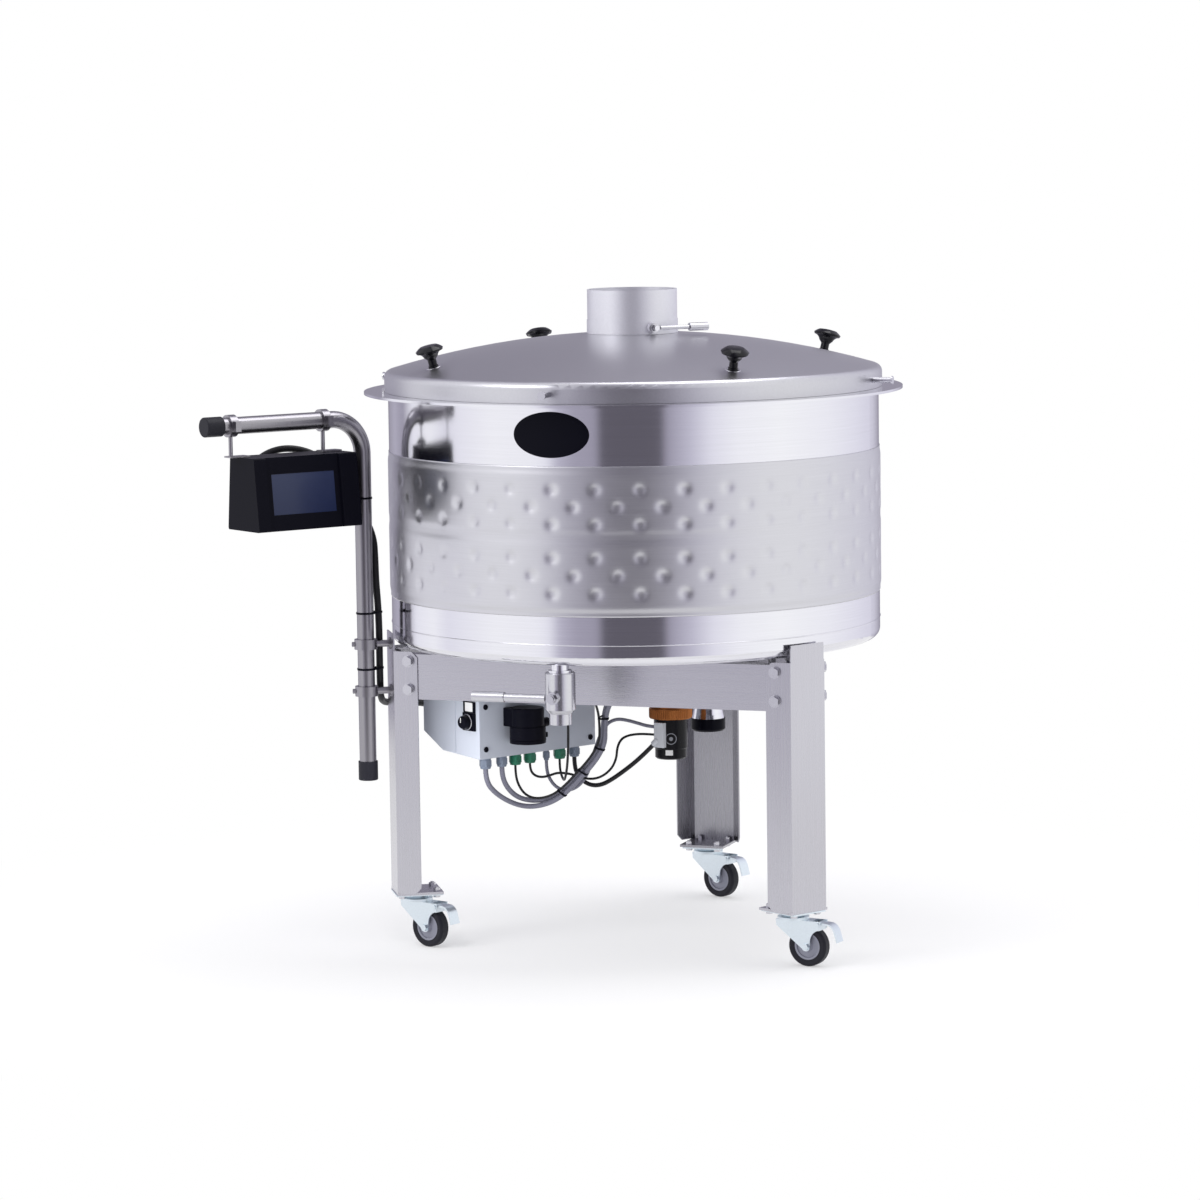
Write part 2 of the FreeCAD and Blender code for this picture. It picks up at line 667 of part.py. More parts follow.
def lever(label, length, hole, eye, thickness, bar_radius, sleeve_radius, sleeve_length, nut):
    """A round bar along its own X from a flat eye at the origin, with a slip-on sleeve and a nut."""
    start = eye + 2.5
    neck = block(start - hole, 1.7 * bar_radius, thickness, (hole + 2, -0.85 * bar_radius, 0))
    bar = rod(bar_radius, length - sleeve_length / 2 - start, (start, 0, thickness / 2), X)
    bored = cut(label + "_forging", join(label + "_blank", rod(eye, thickness), neck, bar),
                rod(hole, 60, (0, 0, -20)))
    sleeve = cut(
        label + "_sleeve",
        rod(sleeve_radius, sleeve_length, (length - sleeve_length, 0, thickness / 2), X),
        rod(bar_radius + s.run_clearance, sleeve_length / 2 + 2.2,
            (length - sleeve_length - 2, 0, thickness / 2), X),
    )
    end_nut = cut(label + "_nut", hexagon(nut, 0.8 * nut, (0, 0, thickness + 0.2)),
                  rod(hole, 60, (0, 0, -20)))
    return group(label, bored, sleeve, end_nut)


damper_lever = lever("damper_lever", s.damper_lever_length, s.damper_shaft_radius + s.run_clearance,
                     9, 3, 4, 8, 40, 7)
place(damper_lever, (*polar(lever_plane, s.damper_azimuth), damper_height), lever_turn)

# Legs: a bent channel whose flanges lie against the beams, on a foot plate
t = s.sheet_steel
fork_top = 2 * s.wheel_radius + s.fork_gap
castor_plate_bottom = fork_top + s.race_height
castor_plate_top = castor_plate_bottom + s.castor_plate_sheet
leg_bottom = castor_plate_top + s.foot_thickness
beam_top = s.kettle_bottom - s.pad_thickness
beam_bottom = beam_top - s.beam_height
flange_top = beam_top + s.flange_rise
leg_top = flange_top + s.web_rise
leg_outer = s.kettle_radius + s.leg_gap
castor_circle = leg_outer - s.castor_inset
flange_x = leg_outer - s.leg_flange * SIN60
flange_y = s.leg_half_web + s.leg_flange * COS60
fold_y = s.leg_half_web - t * TAN30
foot_hole = s.castor_bolt_radius + s.bolt_clearance
beam_face = leg_outer * COS60 + s.leg_half_web * SIN60 - t
fold_along = leg_outer * SIN60 - s.leg_half_web * COS60
beam_half_length = fold_along - s.beam_to_fold
bolt_inset = fold_along - s.bolt_to_fold
upper_bolts = beam_top - s.frame_bolt_drop
lower_bolts = beam_bottom + s.frame_bolt_rise
bolt_hole = s.frame_bolt_radius + s.bolt_clearance
castor_bolt_places = [(castor_circle + sx * s.castor_bolt_x, sy * s.castor_bolt_y)
                      for sx in (-1, 1) for sy in (-1, 1)]


def leg(side, azimuth):
    channel = plate(f"{side}_channel", [
        (leg_outer, -s.leg_half_web),
        (leg_outer, s.leg_half_web),
        (flange_x, flange_y),
        (flange_x - t * COS60, flange_y - t * SIN60),
        (leg_outer - t, fold_y),
        (leg_outer - t, -fold_y),
        (flange_x - t * COS60, -flange_y + t * SIN60),
        (flange_x, -flange_y),
    ], flange_top - leg_bottom)
    place(channel, (0, 0, leg_bottom))
    tab = block(t, 2 * fold_y, leg_top - leg_bottom, (leg_outer - t, -fold_y, leg_bottom))
    foot = block(s.foot_length, s.foot_width, s.foot_thickness,
                 (leg_outer - s.foot_length, s.foot_width / -2, castor_plate_top))
    holes = [rod(foot_hole, s.foot_thickness + 2, (x, y, castor_plate_top - 1))
             for x, y in castor_bolt_places]
    # Along a beam's outer face, a bolt lies the same way in from the fold at both ends
    for hand in (-1, 1):
        normal = Vector(COS60, hand * SIN60, 0)
        along = Vector(SIN60, -hand * COS60, 0)
        for height in (upper_bolts, lower_bolts):
            at = [beam_face * normal.x + bolt_inset * along.x,
                  beam_face * normal.y + bolt_inset * along.y, height]
            holes.append(rod(bolt_hole, 12, (at[0] - 5 * normal.x, at[1] - 5 * normal.y, at[2]), normal))
        # Corners cut off the free edge of the flange, top and bottom
        out = Vector(-SIN60, hand * COS60, 0)
        for height, up in ((flange_top, -1), (leg_bottom, 1)):
            corner = plate("corner", [(-s.leg_chamfer, -2), (3, -2), (3, s.leg_chamfer + 1)], 20)
            turn = Rotation(out, Z * up, out.cross(Z * up), "ZXY")
            start = out.cross(Z * up) * -10
            at = (flange_x + start.x, hand * flange_y + start.y, height)
            holes.append(place(corner, at, turn))
    item = cut(f"{side}_leg", join(f"{side}_leg_blank", channel, tab, foot), *holes)
    return place(item, (0, 0, 0), Rotation(Z, azimuth))


legs = {side: leg(side, azimuth) for side, azimuth in LEG_AZIMUTHS.items()}

# Beams: channels that open inwards, bolted inside the legs' flanges


def beam(side, azimuth):
    """A channel across the +X direction at the beam's distance, turned to its azimuth."""
    profile = plate(f"{side}_beam_channel", [
        (0, 0),
        (0, s.beam_height),
        (-s.beam_lip, s.beam_height),
        (-s.beam_lip, s.beam_height - t),
        (-t, s.beam_height - t),
        (-t, t),
        (-s.beam_lip, t),
        (-s.beam_lip, 0),
    ], 2 * beam_half_length)
    place(profile, (beam_face, beam_half_length, beam_bottom), Rotation(X, Z, -Y, "ZXY"))
    holes = [rod(bolt_hole, 12, (beam_face - 8, hand * bolt_inset, height), X)
             for hand in (-1, 1) for height in (upper_bolts, lower_bolts)]
    return place(cut(f"{side}_beam", profile, *holes), (0, 0, 0), Rotation(Z, azimuth))


beams = {side: beam(side, azimuth) for side, azimuth in BEAM_AZIMUTHS.items()}

# Frame bolts: two in each joint, with their nuts, and four under each castor plate
bolts = []
WASHER = 2.5
for azimuth in BEAM_AZIMUTHS.values():
    for hand in (-1, 1):
        for height in (upper_bolts, lower_bolts):
            head = beam_face + t
            nut = beam_face - t
            bolt = join(
                "frame_bolt",
                rod(s.frame_bolt_washer, WASHER, (head, hand * bolt_inset, height), X),
                hexagon(s.frame_bolt_head, 7.5, (head + WASHER, hand * bolt_inset, height), X),
                rod(s.frame_bolt_radius, 2 * t + 12, (nut - 12, hand * bolt_inset, height), X),
                hexagon(s.frame_bolt_head, 8, (nut - 8, hand * bolt_inset, height), X),
            )
            bolts.append(place(bolt, (0, 0, 0), Rotation(Z, azimuth)))
for azimuth in LEG_AZIMUTHS.values():
    for x, y in castor_bolt_places:
        bolt = join(
            "castor_bolt",
            hexagon(7, 5, (x, y, castor_plate_bottom - 5)),
            rod(s.castor_bolt_radius, s.castor_plate_sheet + s.foot_thickness + 8,
                (x, y, castor_plate_bottom)),
            hexagon(7, 6, (x, y, leg_bottom)),
        )
        bolts.append(place(bolt, (0, 0, 0), Rotation(Z, azimuth)))
frame_bolts = group("frame_bolts", *bolts)

# Support pads: strips on the beams that carry the kettle's bottom
pads = []
for azimuth in BEAM_AZIMUTHS.values():
    pad = block(s.beam_lip, s.pad_length, s.kettle_bottom - beam_top,
                (beam_face - s.beam_lip, s.pad_length / -2, beam_top))
    pads.append(place(group("kettle_pad", pad), (0, 0, 0), Rotation(Z, azimuth)))
kettle_pads = group("kettle_pads", *pads)

# Castors: plate and ball race on the leg; fork, wheel and brake pedal turn below it
RACE_RADIUS, PIN_RADIUS, PIN_HEAD = 27, 5, 9
race_bottom = fork_top + 5.5
plates = []
for azimuth in LEG_AZIMUTHS.values():
    sheet_piece = block(s.castor_plate_length, s.castor_plate_width, s.castor_plate_sheet,
                        (castor_circle - s.castor_plate_length / 2, s.castor_plate_width / -2,
                         castor_plate_bottom))
    holes = [rod(foot_hole, s.castor_plate_sheet + 2, (x, y, castor_plate_bottom - 1))
             for x, y in castor_bolt_places]
    race = cone(RACE_RADIUS - 4, RACE_RADIUS, castor_plate_bottom - race_bottom + 1,
                (castor_circle, 0, race_bottom))
    pin = rod(PIN_RADIUS, castor_plate_bottom - fork_top + 8, (castor_circle, 0, fork_top - 8))
    head = rod(PIN_HEAD, 4, (castor_circle, 0, fork_top - s.fork_sheet - 4.5))
    item = cut("castor_plate", join("castor_plate_blank", sheet_piece, race, pin, head), *holes)
    plates.append(place(item, (0, 0, 0), Rotation(Z, azimuth)))
castor_plates = group("castor_plates", *plates)

CASTORS = {"left": (-150, -20), "right": (-30, -9), "rear": (90, -20)}
trail = s.castor_trail
axle_z = s.wheel_radius
pedal_x, pedal_z = trail + 24, fork_top - 7
PEDAL_PIN, EYE = 3, 9
upright = Rotation(X, Z, -Y, "ZXY")
outer_cheek = s.fork_inner + s.fork_sheet


def castor(side, azimuth, heading):
    """The swivelling part of one castor, along +X from its swivel axis, then set in place."""
    at = (*polar(castor_circle, azimuth), 0)
    turn = Rotation(Z, heading)
    cheek_outline = [
        (-30, fork_top),
        (-29, fork_top - 12),
        (trail - EYE * 0.86, axle_z - EYE * 0.5, EYE),
        (trail + EYE * 0.86, axle_z - EYE * 0.5),
        (trail + EYE, axle_z + 12, -24),
        (trail + 30, fork_top - 17),
        (trail + 32, fork_top),
    ]
    cheeks = [place(plate("fork_cheek", cheek_outline, s.fork_sheet), (0, y, 0), upright)
              for y in (outer_cheek, -s.fork_inner)]
    bridge = block(trail + 42, 2 * outer_cheek, s.fork_sheet,
                   (-30, -outer_cheek, fork_top - s.fork_sheet))
    cup = rod(RACE_RADIUS + 4, 5, (0, 0, fork_top))
    axle_hole = rod(s.axle_radius + s.run_clearance, 60, (trail, -30, axle_z), Y)
    pedal_hole = rod(PEDAL_PIN + s.run_clearance, 60, (pedal_x, -30, pedal_z), Y)
    fork = cut(f"{side}_fork", join(f"{side}_fork_blank", bridge, cup, *cheeks), axle_hole, pedal_hole,
               rod(PIN_RADIUS + 0.3, 40, (0, 0, fork_top - 20)))
    axle = join("axle", rod(s.axle_radius, 2 * outer_cheek, (trail, -outer_cheek, axle_z), Y),
                hexagon(7, 5, (trail, outer_cheek, axle_z), Y),
                hexagon(7, 5, (trail, -outer_cheek - 5, axle_z), Y))
    pedal_pin = join("pedal_pin", rod(PEDAL_PIN, 2 * outer_cheek, (pedal_x, -outer_cheek, pedal_z), Y),
                     rod(5, 1.5, (pedal_x, outer_cheek, pedal_z), Y),
                     rod(5, 1.5, (pedal_x, -outer_cheek - 1.5, pedal_z), Y))
    castor_fork = place(group(f"{side}_castor_fork", fork, axle, pedal_pin), at, turn)

    half = s.wheel_width / 2
    hub = turned(f"{side}_hub_blank", [
        (s.axle_radius + s.run_clearance, -s.fork_inner + 0.5),
        (9, -s.fork_inner + 0.5),
        (11, -half + 4),
        (s.wheel_hub_radius - 5, -half + 5),
        (s.wheel_hub_radius - 4, -half + 2),
        (s.wheel_hub_radius - 0.1, -half + 2),
        (s.wheel_hub_radius - 0.1, half - 2),
        (s.wheel_hub_radius - 4, half - 2),
        (s.wheel_hub_radius - 5, half - 5),
        (11, half - 4),
        (9, s.fork_inner - 0.5),
        (s.axle_radius + s.run_clearance, s.fork_inner - 0.5),
    ])
    tyre = turned(f"{side}_tyre_blank", [
        (s.wheel_hub_radius, -half + 1.5),
        (s.wheel_radius - 5, -half, 5.5),
        (s.wheel_radius, -half + 5),
        (s.wheel_radius, half - 5, 5.5),
        (s.wheel_radius - 5, half),
        (s.wheel_hub_radius, half - 1.5),
    ])
    hub_node = place(group(f"{side}_wheel_hub", place(hub, (trail, 0, axle_z), upright)), at, turn)
    tyre_node = place(group(f"{side}_wheel_tyre", place(tyre, (trail, 0, axle_z), upright)), at, turn)

    pedal_width = 2 * (s.fork_inner - 1)
    pedal = plate(f"{side}_pedal_blank", [
        (-5, 0, -5),
        (0, 5),
        (22, 3, -22),
        (37, -12),
        (43, -32),
        (40, -33),
        (34, -13, 20),
        (21, 0),
        (7, 0),
        (5, -11),
        (1, -12.2),
        (0, -5, -5),
    ], pedal_width)
    pedal = place(pedal, (pedal_x, s.fork_inner - 1, pedal_z), upright)
    bored = cut(f"{side}_pedal_bored", pedal,
                rod(PEDAL_PIN + s.run_clearance, 60, (pedal_x, -30, pedal_z), Y))
    brake = place(group(f"{side}_brake_pedal", bored), at, turn)
    return [castor_fork, hub_node, tyre_node, brake]


castors = [castor(side, *spots) for side, spots in CASTORS.items()]

# Drain: neck under the kettle, ball valve with a narrower outlet, and its lever
drain_at = (0, drain_y, 0)
valve_top = s.kettle_bottom - s.neck_length
valve_low = valve_top - s.valve_height
outlet_end = valve_low - s.outlet_length
stem_height = valve_top - s.stem_drop
drain_neck = turned("drain_neck", [
    (s.drain_bore, valve_top),
    (s.neck_radius + 6, valve_top),
    (s.neck_radius + 6, valve_top + 4),
    (s.neck_radius, valve_top + 4),
    (s.neck_radius, s.kettle_bottom),
    (s.drain_bore, s.kettle_bottom),
])
place(drain_neck, drain_at)
body_shell = turned("valve_shell", [
    (s.drain_bore, outlet_end),
    (s.outlet_radius, outlet_end),
    (s.outlet_radius, valve_low - 6),
    (s.valve_radius - 2, valve_low),
    (s.valve_radius, valve_low + 2),
    (s.valve_radius, valve_top - 2),
    (s.valve_radius - 2, valve_top),
    (s.drain_bore, valve_top),
])
gland_nut = hexagon(11, 9, (0, 1 - s.valve_radius, stem_height), -Y)
valve_body = cut("valve_body", join("valve_blank", body_shell, gland_nut),
                 ball(s.ball_radius + 0.3, (0, 0, stem_height)),
                 rod(s.stem_radius + s.run_clearance, 60, (0, 0, stem_height), -Y))
place(valve_body, drain_at)
stem_end = s.valve_radius + 27
valve_ball = cut(
    "valve_ball",
    join("ball_and_stem", ball(s.ball_radius, (0, 0, stem_height)),
         rod(s.stem_radius, stem_end, (0, 0, stem_height), -Y)),
    rod(s.drain_bore, 2 * s.ball_radius + 4, (-s.ball_radius - 2, 0, stem_height), X),
)
place(valve_ball, drain_at)
valve_lever = lever("valve_lever", s.valve_lever_length, s.stem_radius + s.run_clearance,
                    12, 6, 7.5, 10, 65, 9)
place(valve_lever, (0, drain_y - s.valve_radius - 11, stem_height), axes(-X, -Y))

# Control arm: one tube, vertical in two brackets and level above, with rubber end caps
clamp_upper = leg_top - s.clamp_drop
clamp_lower = clamp_upper - s.clamp_spacing
arm_bottom = clamp_lower - s.arm_tail
box_end = s.box_start + s.box_width
arm_reach = box_end + s.arm_tip
arm_axis = leg_outer + s.arm_offset
arm_foot = polar(arm_axis, -150)
foot_point = Vector(value(arm_foot[0]), value(arm_foot[1]), value(arm_bottom))
elbow_point = Vector(foot_point.x, foot_point.y, value(s.arm_height))
along_arm = compass(s.arm_azimuth)
arm_front = compass(value(s.arm_azimuth) + 90)
end_point = elbow_point + along_arm * value(arm_reach)
arm_points = [foot_point, elbow_point, end_point]
solid_arm, _, _ = swept(arm_points, radius=value(s.arm_radius), bend=value(s.arm_bend))
bore_arm, _, _ = swept(arm_points, radius=value(s.arm_radius - s.arm_wall), bend=value(s.arm_bend))
control_arm = feature("control_arm", solid_arm.cut(bore_arm))


def end_cap(at, outward):
    """A ribbed rubber cap pulled over a tube's end."""
    cap = turned("arm_end_cap", [
        (0, -4),
        (s.arm_radius + s.cap_wall - 2, -4, 2.5),
        (s.arm_radius + s.cap_wall, -2),
        (s.arm_radius + s.cap_wall, s.cap_length),
        (s.arm_radius + s.run_clearance, s.cap_length),
        (s.arm_radius + s.run_clearance, -0.3),
        (0, -0.3),
    ])
    return place(cap, (at.x, at.y, at.z), Rotation(Z, outward * -1))


arm_end_caps = group("arm_end_caps", end_cap(foot_point, -Z), end_cap(end_point, along_arm))

# Tube brackets: a ring round the tube and a rod to the left leg's web
to_leg = compass(30)
ring_outer = s.arm_radius + s.clamp_ring
brackets = []
for height in (clamp_upper, clamp_lower):
    ring = rod(ring_outer, s.clamp_height, (0, 0, height - s.clamp_height / 2))
    arm = rod(s.clamp_rod, s.arm_offset, (0, 0, height), X)
    flange = rod(s.clamp_rod + 5, 3, (s.arm_offset - 3, 0, height), X)
    screw = hexagon(5, s.clamp_ring + 6, (-ring_outer - 5, 0, height), X)
    bracket = cut("tube_bracket", join("bracket_blank", ring, arm, flange, screw),
                  rod(s.arm_radius + s.run_clearance, 60, (0, 0, height - 30)))
    brackets.append(place(bracket, (*arm_foot, 0), Rotation(X, to_leg)))
tube_clamps = group("tube_clamps", *brackets)


# Control housing: wedge-shaped, deeper at the bottom, with a recessed middle panel on its front
def on_arm(along, front, height):
    """A point at a distance along the arm, in front of its plane, and at a height."""
    base = (arm_foot[0], arm_foot[1])
    return (base[0] + along * along_arm.x + front * arm_front.x,
            base[1] + along * along_arm.y + front * arm_front.y, height)


box_top = s.arm_height - s.box_drop
box_bottom = box_top - s.box_height
side_profile = [
    (s.box_back - 12, box_bottom + 4),
    (s.box_back - 10, box_bottom),
    (s.box_front_low - 4, box_bottom, 4.5),
    (s.box_front_low, box_bottom + 4),
    (s.box_front_top, box_top - 4, 4.5),
    (s.box_front_top - 4, box_top),
    (s.box_back, box_top),
]
# The profile's own X is the front direction and its own Y is up, so it is padded along the arm
box_frame = Rotation(arm_front, Z, along_arm, "ZXY")
housing_solid = place(plate("control_housing_solid", side_profile, s.box_width),
                      on_arm(s.box_start, 0, 0), box_frame)
slope = degrees(atan2(value(s.box_front_low - s.box_front_top), value(box_top - box_bottom)))
face_tilt = Rotation(along_arm, slope)
face_out = face_tilt.multVec(arm_front)
face_up = face_tilt.multVec(Z)
face_frame = Rotation(along_arm, face_up, face_out * -1, "ZXY")


def on_face(along, height, depth):
    """A point behind the housing's sloping front, given by its place along the arm and its height."""
    share = (box_top - height) / (box_top - box_bottom)
    front = s.box_front_top + (s.box_front_low - s.box_front_top) * share
    x, y, z = on_arm(along, front, height)
    return (x - depth * face_out.x, y - depth * face_out.y, z - depth * face_out.z)


panel_start = s.box_start + s.panel_start
panel_height = box_top - box_bottom + 20
RECESS_REACH, POCKET_REACH = 30, 12
recess = plate("panel_recess", [
    (0, 0), (s.panel_width, 0), (s.panel_width, panel_height), (0, panel_height)], RECESS_REACH)
place(recess, on_face(panel_start, box_bottom - 10, s.panel_depth - RECESS_REACH), face_frame)
screen_mid = panel_start + s.panel_width / 2
screen_low = (box_top + box_bottom) / 2 - s.screen_height / 2
screen_start = screen_mid - s.screen_width / 2
SCREEN_SINK = 2.5
pocket = plate("screen_pocket", [
    (-0.2, -0.2), (s.screen_width + 0.2, -0.2),
    (s.screen_width + 0.2, s.screen_height + 0.2), (-0.2, s.screen_height + 0.2)], POCKET_REACH)
place(pocket, on_face(screen_start, screen_low, s.panel_depth + SCREEN_SINK - POCKET_REACH), face_frame)
control_housing = cut("control_housing", housing_solid, recess, pocket)
display_screen = plate("display_screen", [
    (0, 0), (s.screen_width, 0), (s.screen_width, s.screen_height), (0, s.screen_height)], 1.8)
place(display_screen, on_face(screen_start, screen_low, s.panel_depth + 0.6), face_frame)

# Hangers: a ring clamp round the level tube, a drop rod and a foot screwed to the housing's top
hangers = []
FOOT_SHEET, FOOT_REACH = 3, 44
for along in (s.box_start + s.hanger_start, box_end + s.hanger_end):
    ring = rod(s.arm_radius + 5, 16, (0, 0, -8))
    lug = block(14, 20, 12, (s.arm_radius + 1, -10, -6))
    drop = rod(s.hanger_rod, s.box_drop - 1, (0, 0, 0), -Y)
    bore = rod(s.arm_radius + s.run_clearance, 60, (0, 0, -30))
    clamp = cut("hanger_clamp", join("hanger_blank", ring, lug, drop), bore)
    place(clamp, on_arm(along, 0, s.arm_height), box_frame)
    foot = block(FOOT_REACH, 24, FOOT_SHEET, turn=Rotation(along_arm * -1, arm_front * -1, Z, "ZXY"),
                 at=on_arm(along + 8, 12, box_top + 0.2))
    hangers.append(join("hanger", clamp, foot))
box_hangers = group("box_hangers", *hangers)

# Electronics housing: along the left beam, under it, with a cut-off lower back edge
housing_top = beam_bottom - s.housing_drop
housing_bottom = housing_top - s.housing_height
long_side = compass(s.housing_azimuth)
short_side = compass(value(s.housing_azimuth) + 90)
front_side = short_side * -1
left_side = long_side * -1


def on_housing(along, depth, height):
    """A point at a distance along the housing, behind its front face, and at a height."""
    return (s.housing_x + along * long_side.x + depth * short_side.x,
            s.housing_y + along * long_side.y + depth * short_side.y, height)


housing_section = [
    (0, housing_bottom),
    (s.housing_depth * 0.66, housing_bottom + 8),
    (s.housing_depth, housing_bottom + 42),
    (s.housing_depth, housing_top),
    (0, housing_top),
]
housing_frame = Rotation(short_side, Z, long_side, "ZXY")
housing_block = place(plate("housing_block", housing_section, s.housing_length),
                      on_housing(0, 0, 0), housing_frame)
SEAM_DEPTH, SEAM_WIDTH = 1.2, 2
seam_depth_at = s.housing_depth * 0.42
groove = plate("housing_groove", [
    (seam_depth_at, housing_bottom - 5), (seam_depth_at + SEAM_WIDTH, housing_bottom - 5),
    (seam_depth_at + SEAM_WIDTH, housing_top + 5), (seam_depth_at, housing_top + 5),
], SEAM_DEPTH + 5)
place(groove, on_housing(-5, 0, 0), housing_frame)
electronics_housing = cut("electronics_housing", housing_block, groove)
straps = []
for along in (0.2, 0.8):
    strap = block(28, s.housing_depth + 16, s.housing_drop,
                  turn=Rotation(long_side, short_side, Z, "ZXY"),
                  at=on_housing(along * s.housing_length - 14, 10, housing_top))
    straps.append(strap)
housing_brackets = group("housing_brackets", *straps)

# Power inlet on the housing's front: a barrel open at its lower end, with a collar and a hinged lid
front_frame = Rotation(long_side, Z, front_side, "ZXY")
inlet_bottom = housing_bottom + s.inlet_rise
inlet_top = inlet_bottom + s.inlet_height
inlet_collar_radius = s.inlet_radius + s.inlet_collar_step
inlet_out = inlet_collar_radius + s.inlet_gap
collar_top = inlet_bottom + s.inlet_collar
hinge_along = s.inlet_along + inlet_collar_radius + 5
hinge_height = inlet_bottom + 4
LUG, LUG_GAP, EAR, CORNER = 4, 0.5, 5.4, 2
barrel = turned("inlet_barrel", [
    (0, collar_top - 1),
    (s.inlet_radius, collar_top - 1),
    (s.inlet_radius, inlet_top - CORNER, CORNER),
    (s.inlet_radius - CORNER, inlet_top),
    (0, inlet_top),
])
collar_ring = turned("inlet_collar_ring", [
    (0, inlet_bottom),
    (inlet_collar_radius - CORNER, inlet_bottom, CORNER),
    (inlet_collar_radius, inlet_bottom + CORNER),
    (inlet_collar_radius, collar_top),
    (0, collar_top),
])
inlet_middle = on_housing(s.inlet_along, -inlet_out, 0)
for piece in (barrel, collar_ring):
    place(piece, inlet_middle)
back_box = place(block(2 * s.inlet_radius - 4, inlet_top - collar_top - CORNER, inlet_out),
                 on_housing(s.inlet_along - s.inlet_radius + 2, 0, collar_top), front_frame)
lug_length = s.hinge_eye + 5 + 6
lugs = [place(block(lug_length, 10, LUG),
              on_housing(hinge_along - lug_length + s.hinge_eye + 0.5, -inlet_out - start,
                         hinge_height - s.hinge_eye + 0.7), front_frame)
        for start in (EAR / 2 + LUG_GAP, -EAR / 2 - LUG_GAP - LUG)]
pin_reach = EAR / 2 + LUG_GAP + LUG + 1
hinge_rod = rod(s.hinge_pin, 2 * pin_reach,
                on_housing(hinge_along, -inlet_out + pin_reach, hinge_height), front_side)
bore_depth = inlet_top - inlet_bottom - 8
CORE_SINK = 5
socket_hole = rod(s.inlet_radius - s.inlet_wall, bore_depth,
                  (inlet_middle[0], inlet_middle[1], inlet_bottom))
core = rod(s.inlet_core, bore_depth - CORE_SINK + 1,
           (inlet_middle[0], inlet_middle[1], inlet_bottom + CORE_SINK))
inlet_shell = cut("inlet_shell", join("inlet_blank", barrel, collar_ring, back_box, *lugs), socket_hole)
power_inlet = join("power_inlet", inlet_shell, core, hinge_rod)
LID_GAP = 0.4
lid_top = inlet_bottom - LID_GAP
lid_disc = rod(inlet_collar_radius, s.inlet_lid,
               on_housing(s.inlet_along, -inlet_out, lid_top - s.inlet_lid))
ear_back = -inlet_out + EAR / 2
ear = place(block(2 * s.hinge_eye, hinge_height - lid_top + s.inlet_lid, EAR),
            on_housing(hinge_along - s.hinge_eye, ear_back, lid_top - s.inlet_lid), front_frame)
ear_web = place(block(hinge_along - s.inlet_along - 20, s.inlet_lid, EAR),
                on_housing(s.inlet_along + 20, ear_back, lid_top - s.inlet_lid), front_frame)
eye = rod(s.hinge_eye, EAR, on_housing(hinge_along, ear_back, hinge_height), front_side)
lid = cut("inlet_lid", join("lid_blank", lid_disc, ear, ear_web, eye),
          rod(s.hinge_pin + s.run_clearance, EAR + 4,
              on_housing(hinge_along, ear_back + 2, hinge_height), front_side))

# Main switch on the housing's left face: a base with a label plate above, and a rotary knob
left_frame = Rotation(short_side * -1, Z, left_side, "ZXY")
switch_at = on_housing(0, s.switch_depth, housing_top - s.switch_drop)
switch_base = group("switch_base", cut(
    "switch_plate",
    join("switch_blank", block(36, 36, 5, (-18, -18, 0)), rod(15, 9)),
    rod(5 + s.run_clearance, 40, (0, 0, -1))),
    block(36, 22, 3, (-18, 18.3, 0)))
place(switch_base, switch_at, left_frame)
KNOB_GAP = 0.5
knob_grip = turned("knob_grip", [
    (0, 9 + KNOB_GAP), (s.switch_radius, 9 + KNOB_GAP), (s.switch_radius, 20),
    (s.switch_radius - 2, 23, crown(s.switch_radius - 2, as_size(1))), (0, 24)])
main_switch_knob = join("main_switch_knob", knob_grip, rod(5, 12, (0, 0, 1)),
                        block(2, s.switch_radius - 1, 1.5, (-1, 0, 23.2)))
place(main_switch_knob, switch_at, left_frame)

# Cable glands along the housing's lower front edge
GLAND_SEAT = 1.35
GLANDS = {
    "first heater": ("grey", 30, 1.3),
    "second heater": ("grey", 72, 1.2),
    "earth": ("green", 107, 1.35),
    "pump sensor": ("green", 145, 1.35),
    "pump signal": ("grey", 188, 0.75),
    "probe": ("green", 223, 1.35),
    "pump supply": ("grey", 262, 1.2),
}
gland_groups = {"grey": [], "green": []}
for colour, along, scale in GLANDS.values():
    dome = cone(s.gland_radius * scale - 3, s.gland_radius * scale - 1, 7,
                (0, 0, -s.gland_length))
    nut = hexagon(s.gland_radius * scale, s.gland_length - 12, (0, 0, 5 - s.gland_length))
    neck = rod(s.gland_radius * scale - 2, 12, (0, 0, -9))
    item = join("gland", dome, nut, neck)
    seat = on_housing(along, s.gland_inset, housing_bottom + GLAND_SEAT)
    gland_groups[colour].append(place(item, seat))
grey_glands = cut("grey_glands", group("grey_gland_set", *gland_groups["grey"]), electronics_housing)
green_glands = cut("green_glands", group("green_gland_set", *gland_groups["green"]),
                   electronics_housing)

# Pump: suction pipe, housing with its union ring, motor, terminal box and return pipe
pump_at = (s.pump_x, s.pump_y, 0)
volute_top = s.kettle_bottom - s.pump_drop
pump_ring_top = volute_top - s.volute_height
pump_ring_bottom = pump_ring_top - s.pump_ring_height
motor_bottom = pump_ring_bottom - s.motor_length
pipe_in = s.pipe_radius - s.pipe_wall
pump_blank = turned("pump_blank", [
    (pipe_in, volute_top + 8),
    (s.pipe_radius + 3, volute_top + 8),
    (s.pipe_radius + 3, volute_top),
    (s.pump_ring_radius - 6, volute_top - 8),
    (s.pump_ring_radius - 4, pump_ring_top),
    (s.pump_ring_radius, pump_ring_top),
    (s.pump_ring_radius, pump_ring_bottom),
    (0, pump_ring_bottom),
    (0, pump_ring_bottom + 6),
    (s.pump_ring_radius - 9, pump_ring_bottom + 6),
    (s.pump_ring_radius - 10, volute_top - 12),
    (pipe_in, volute_top - 6),
])
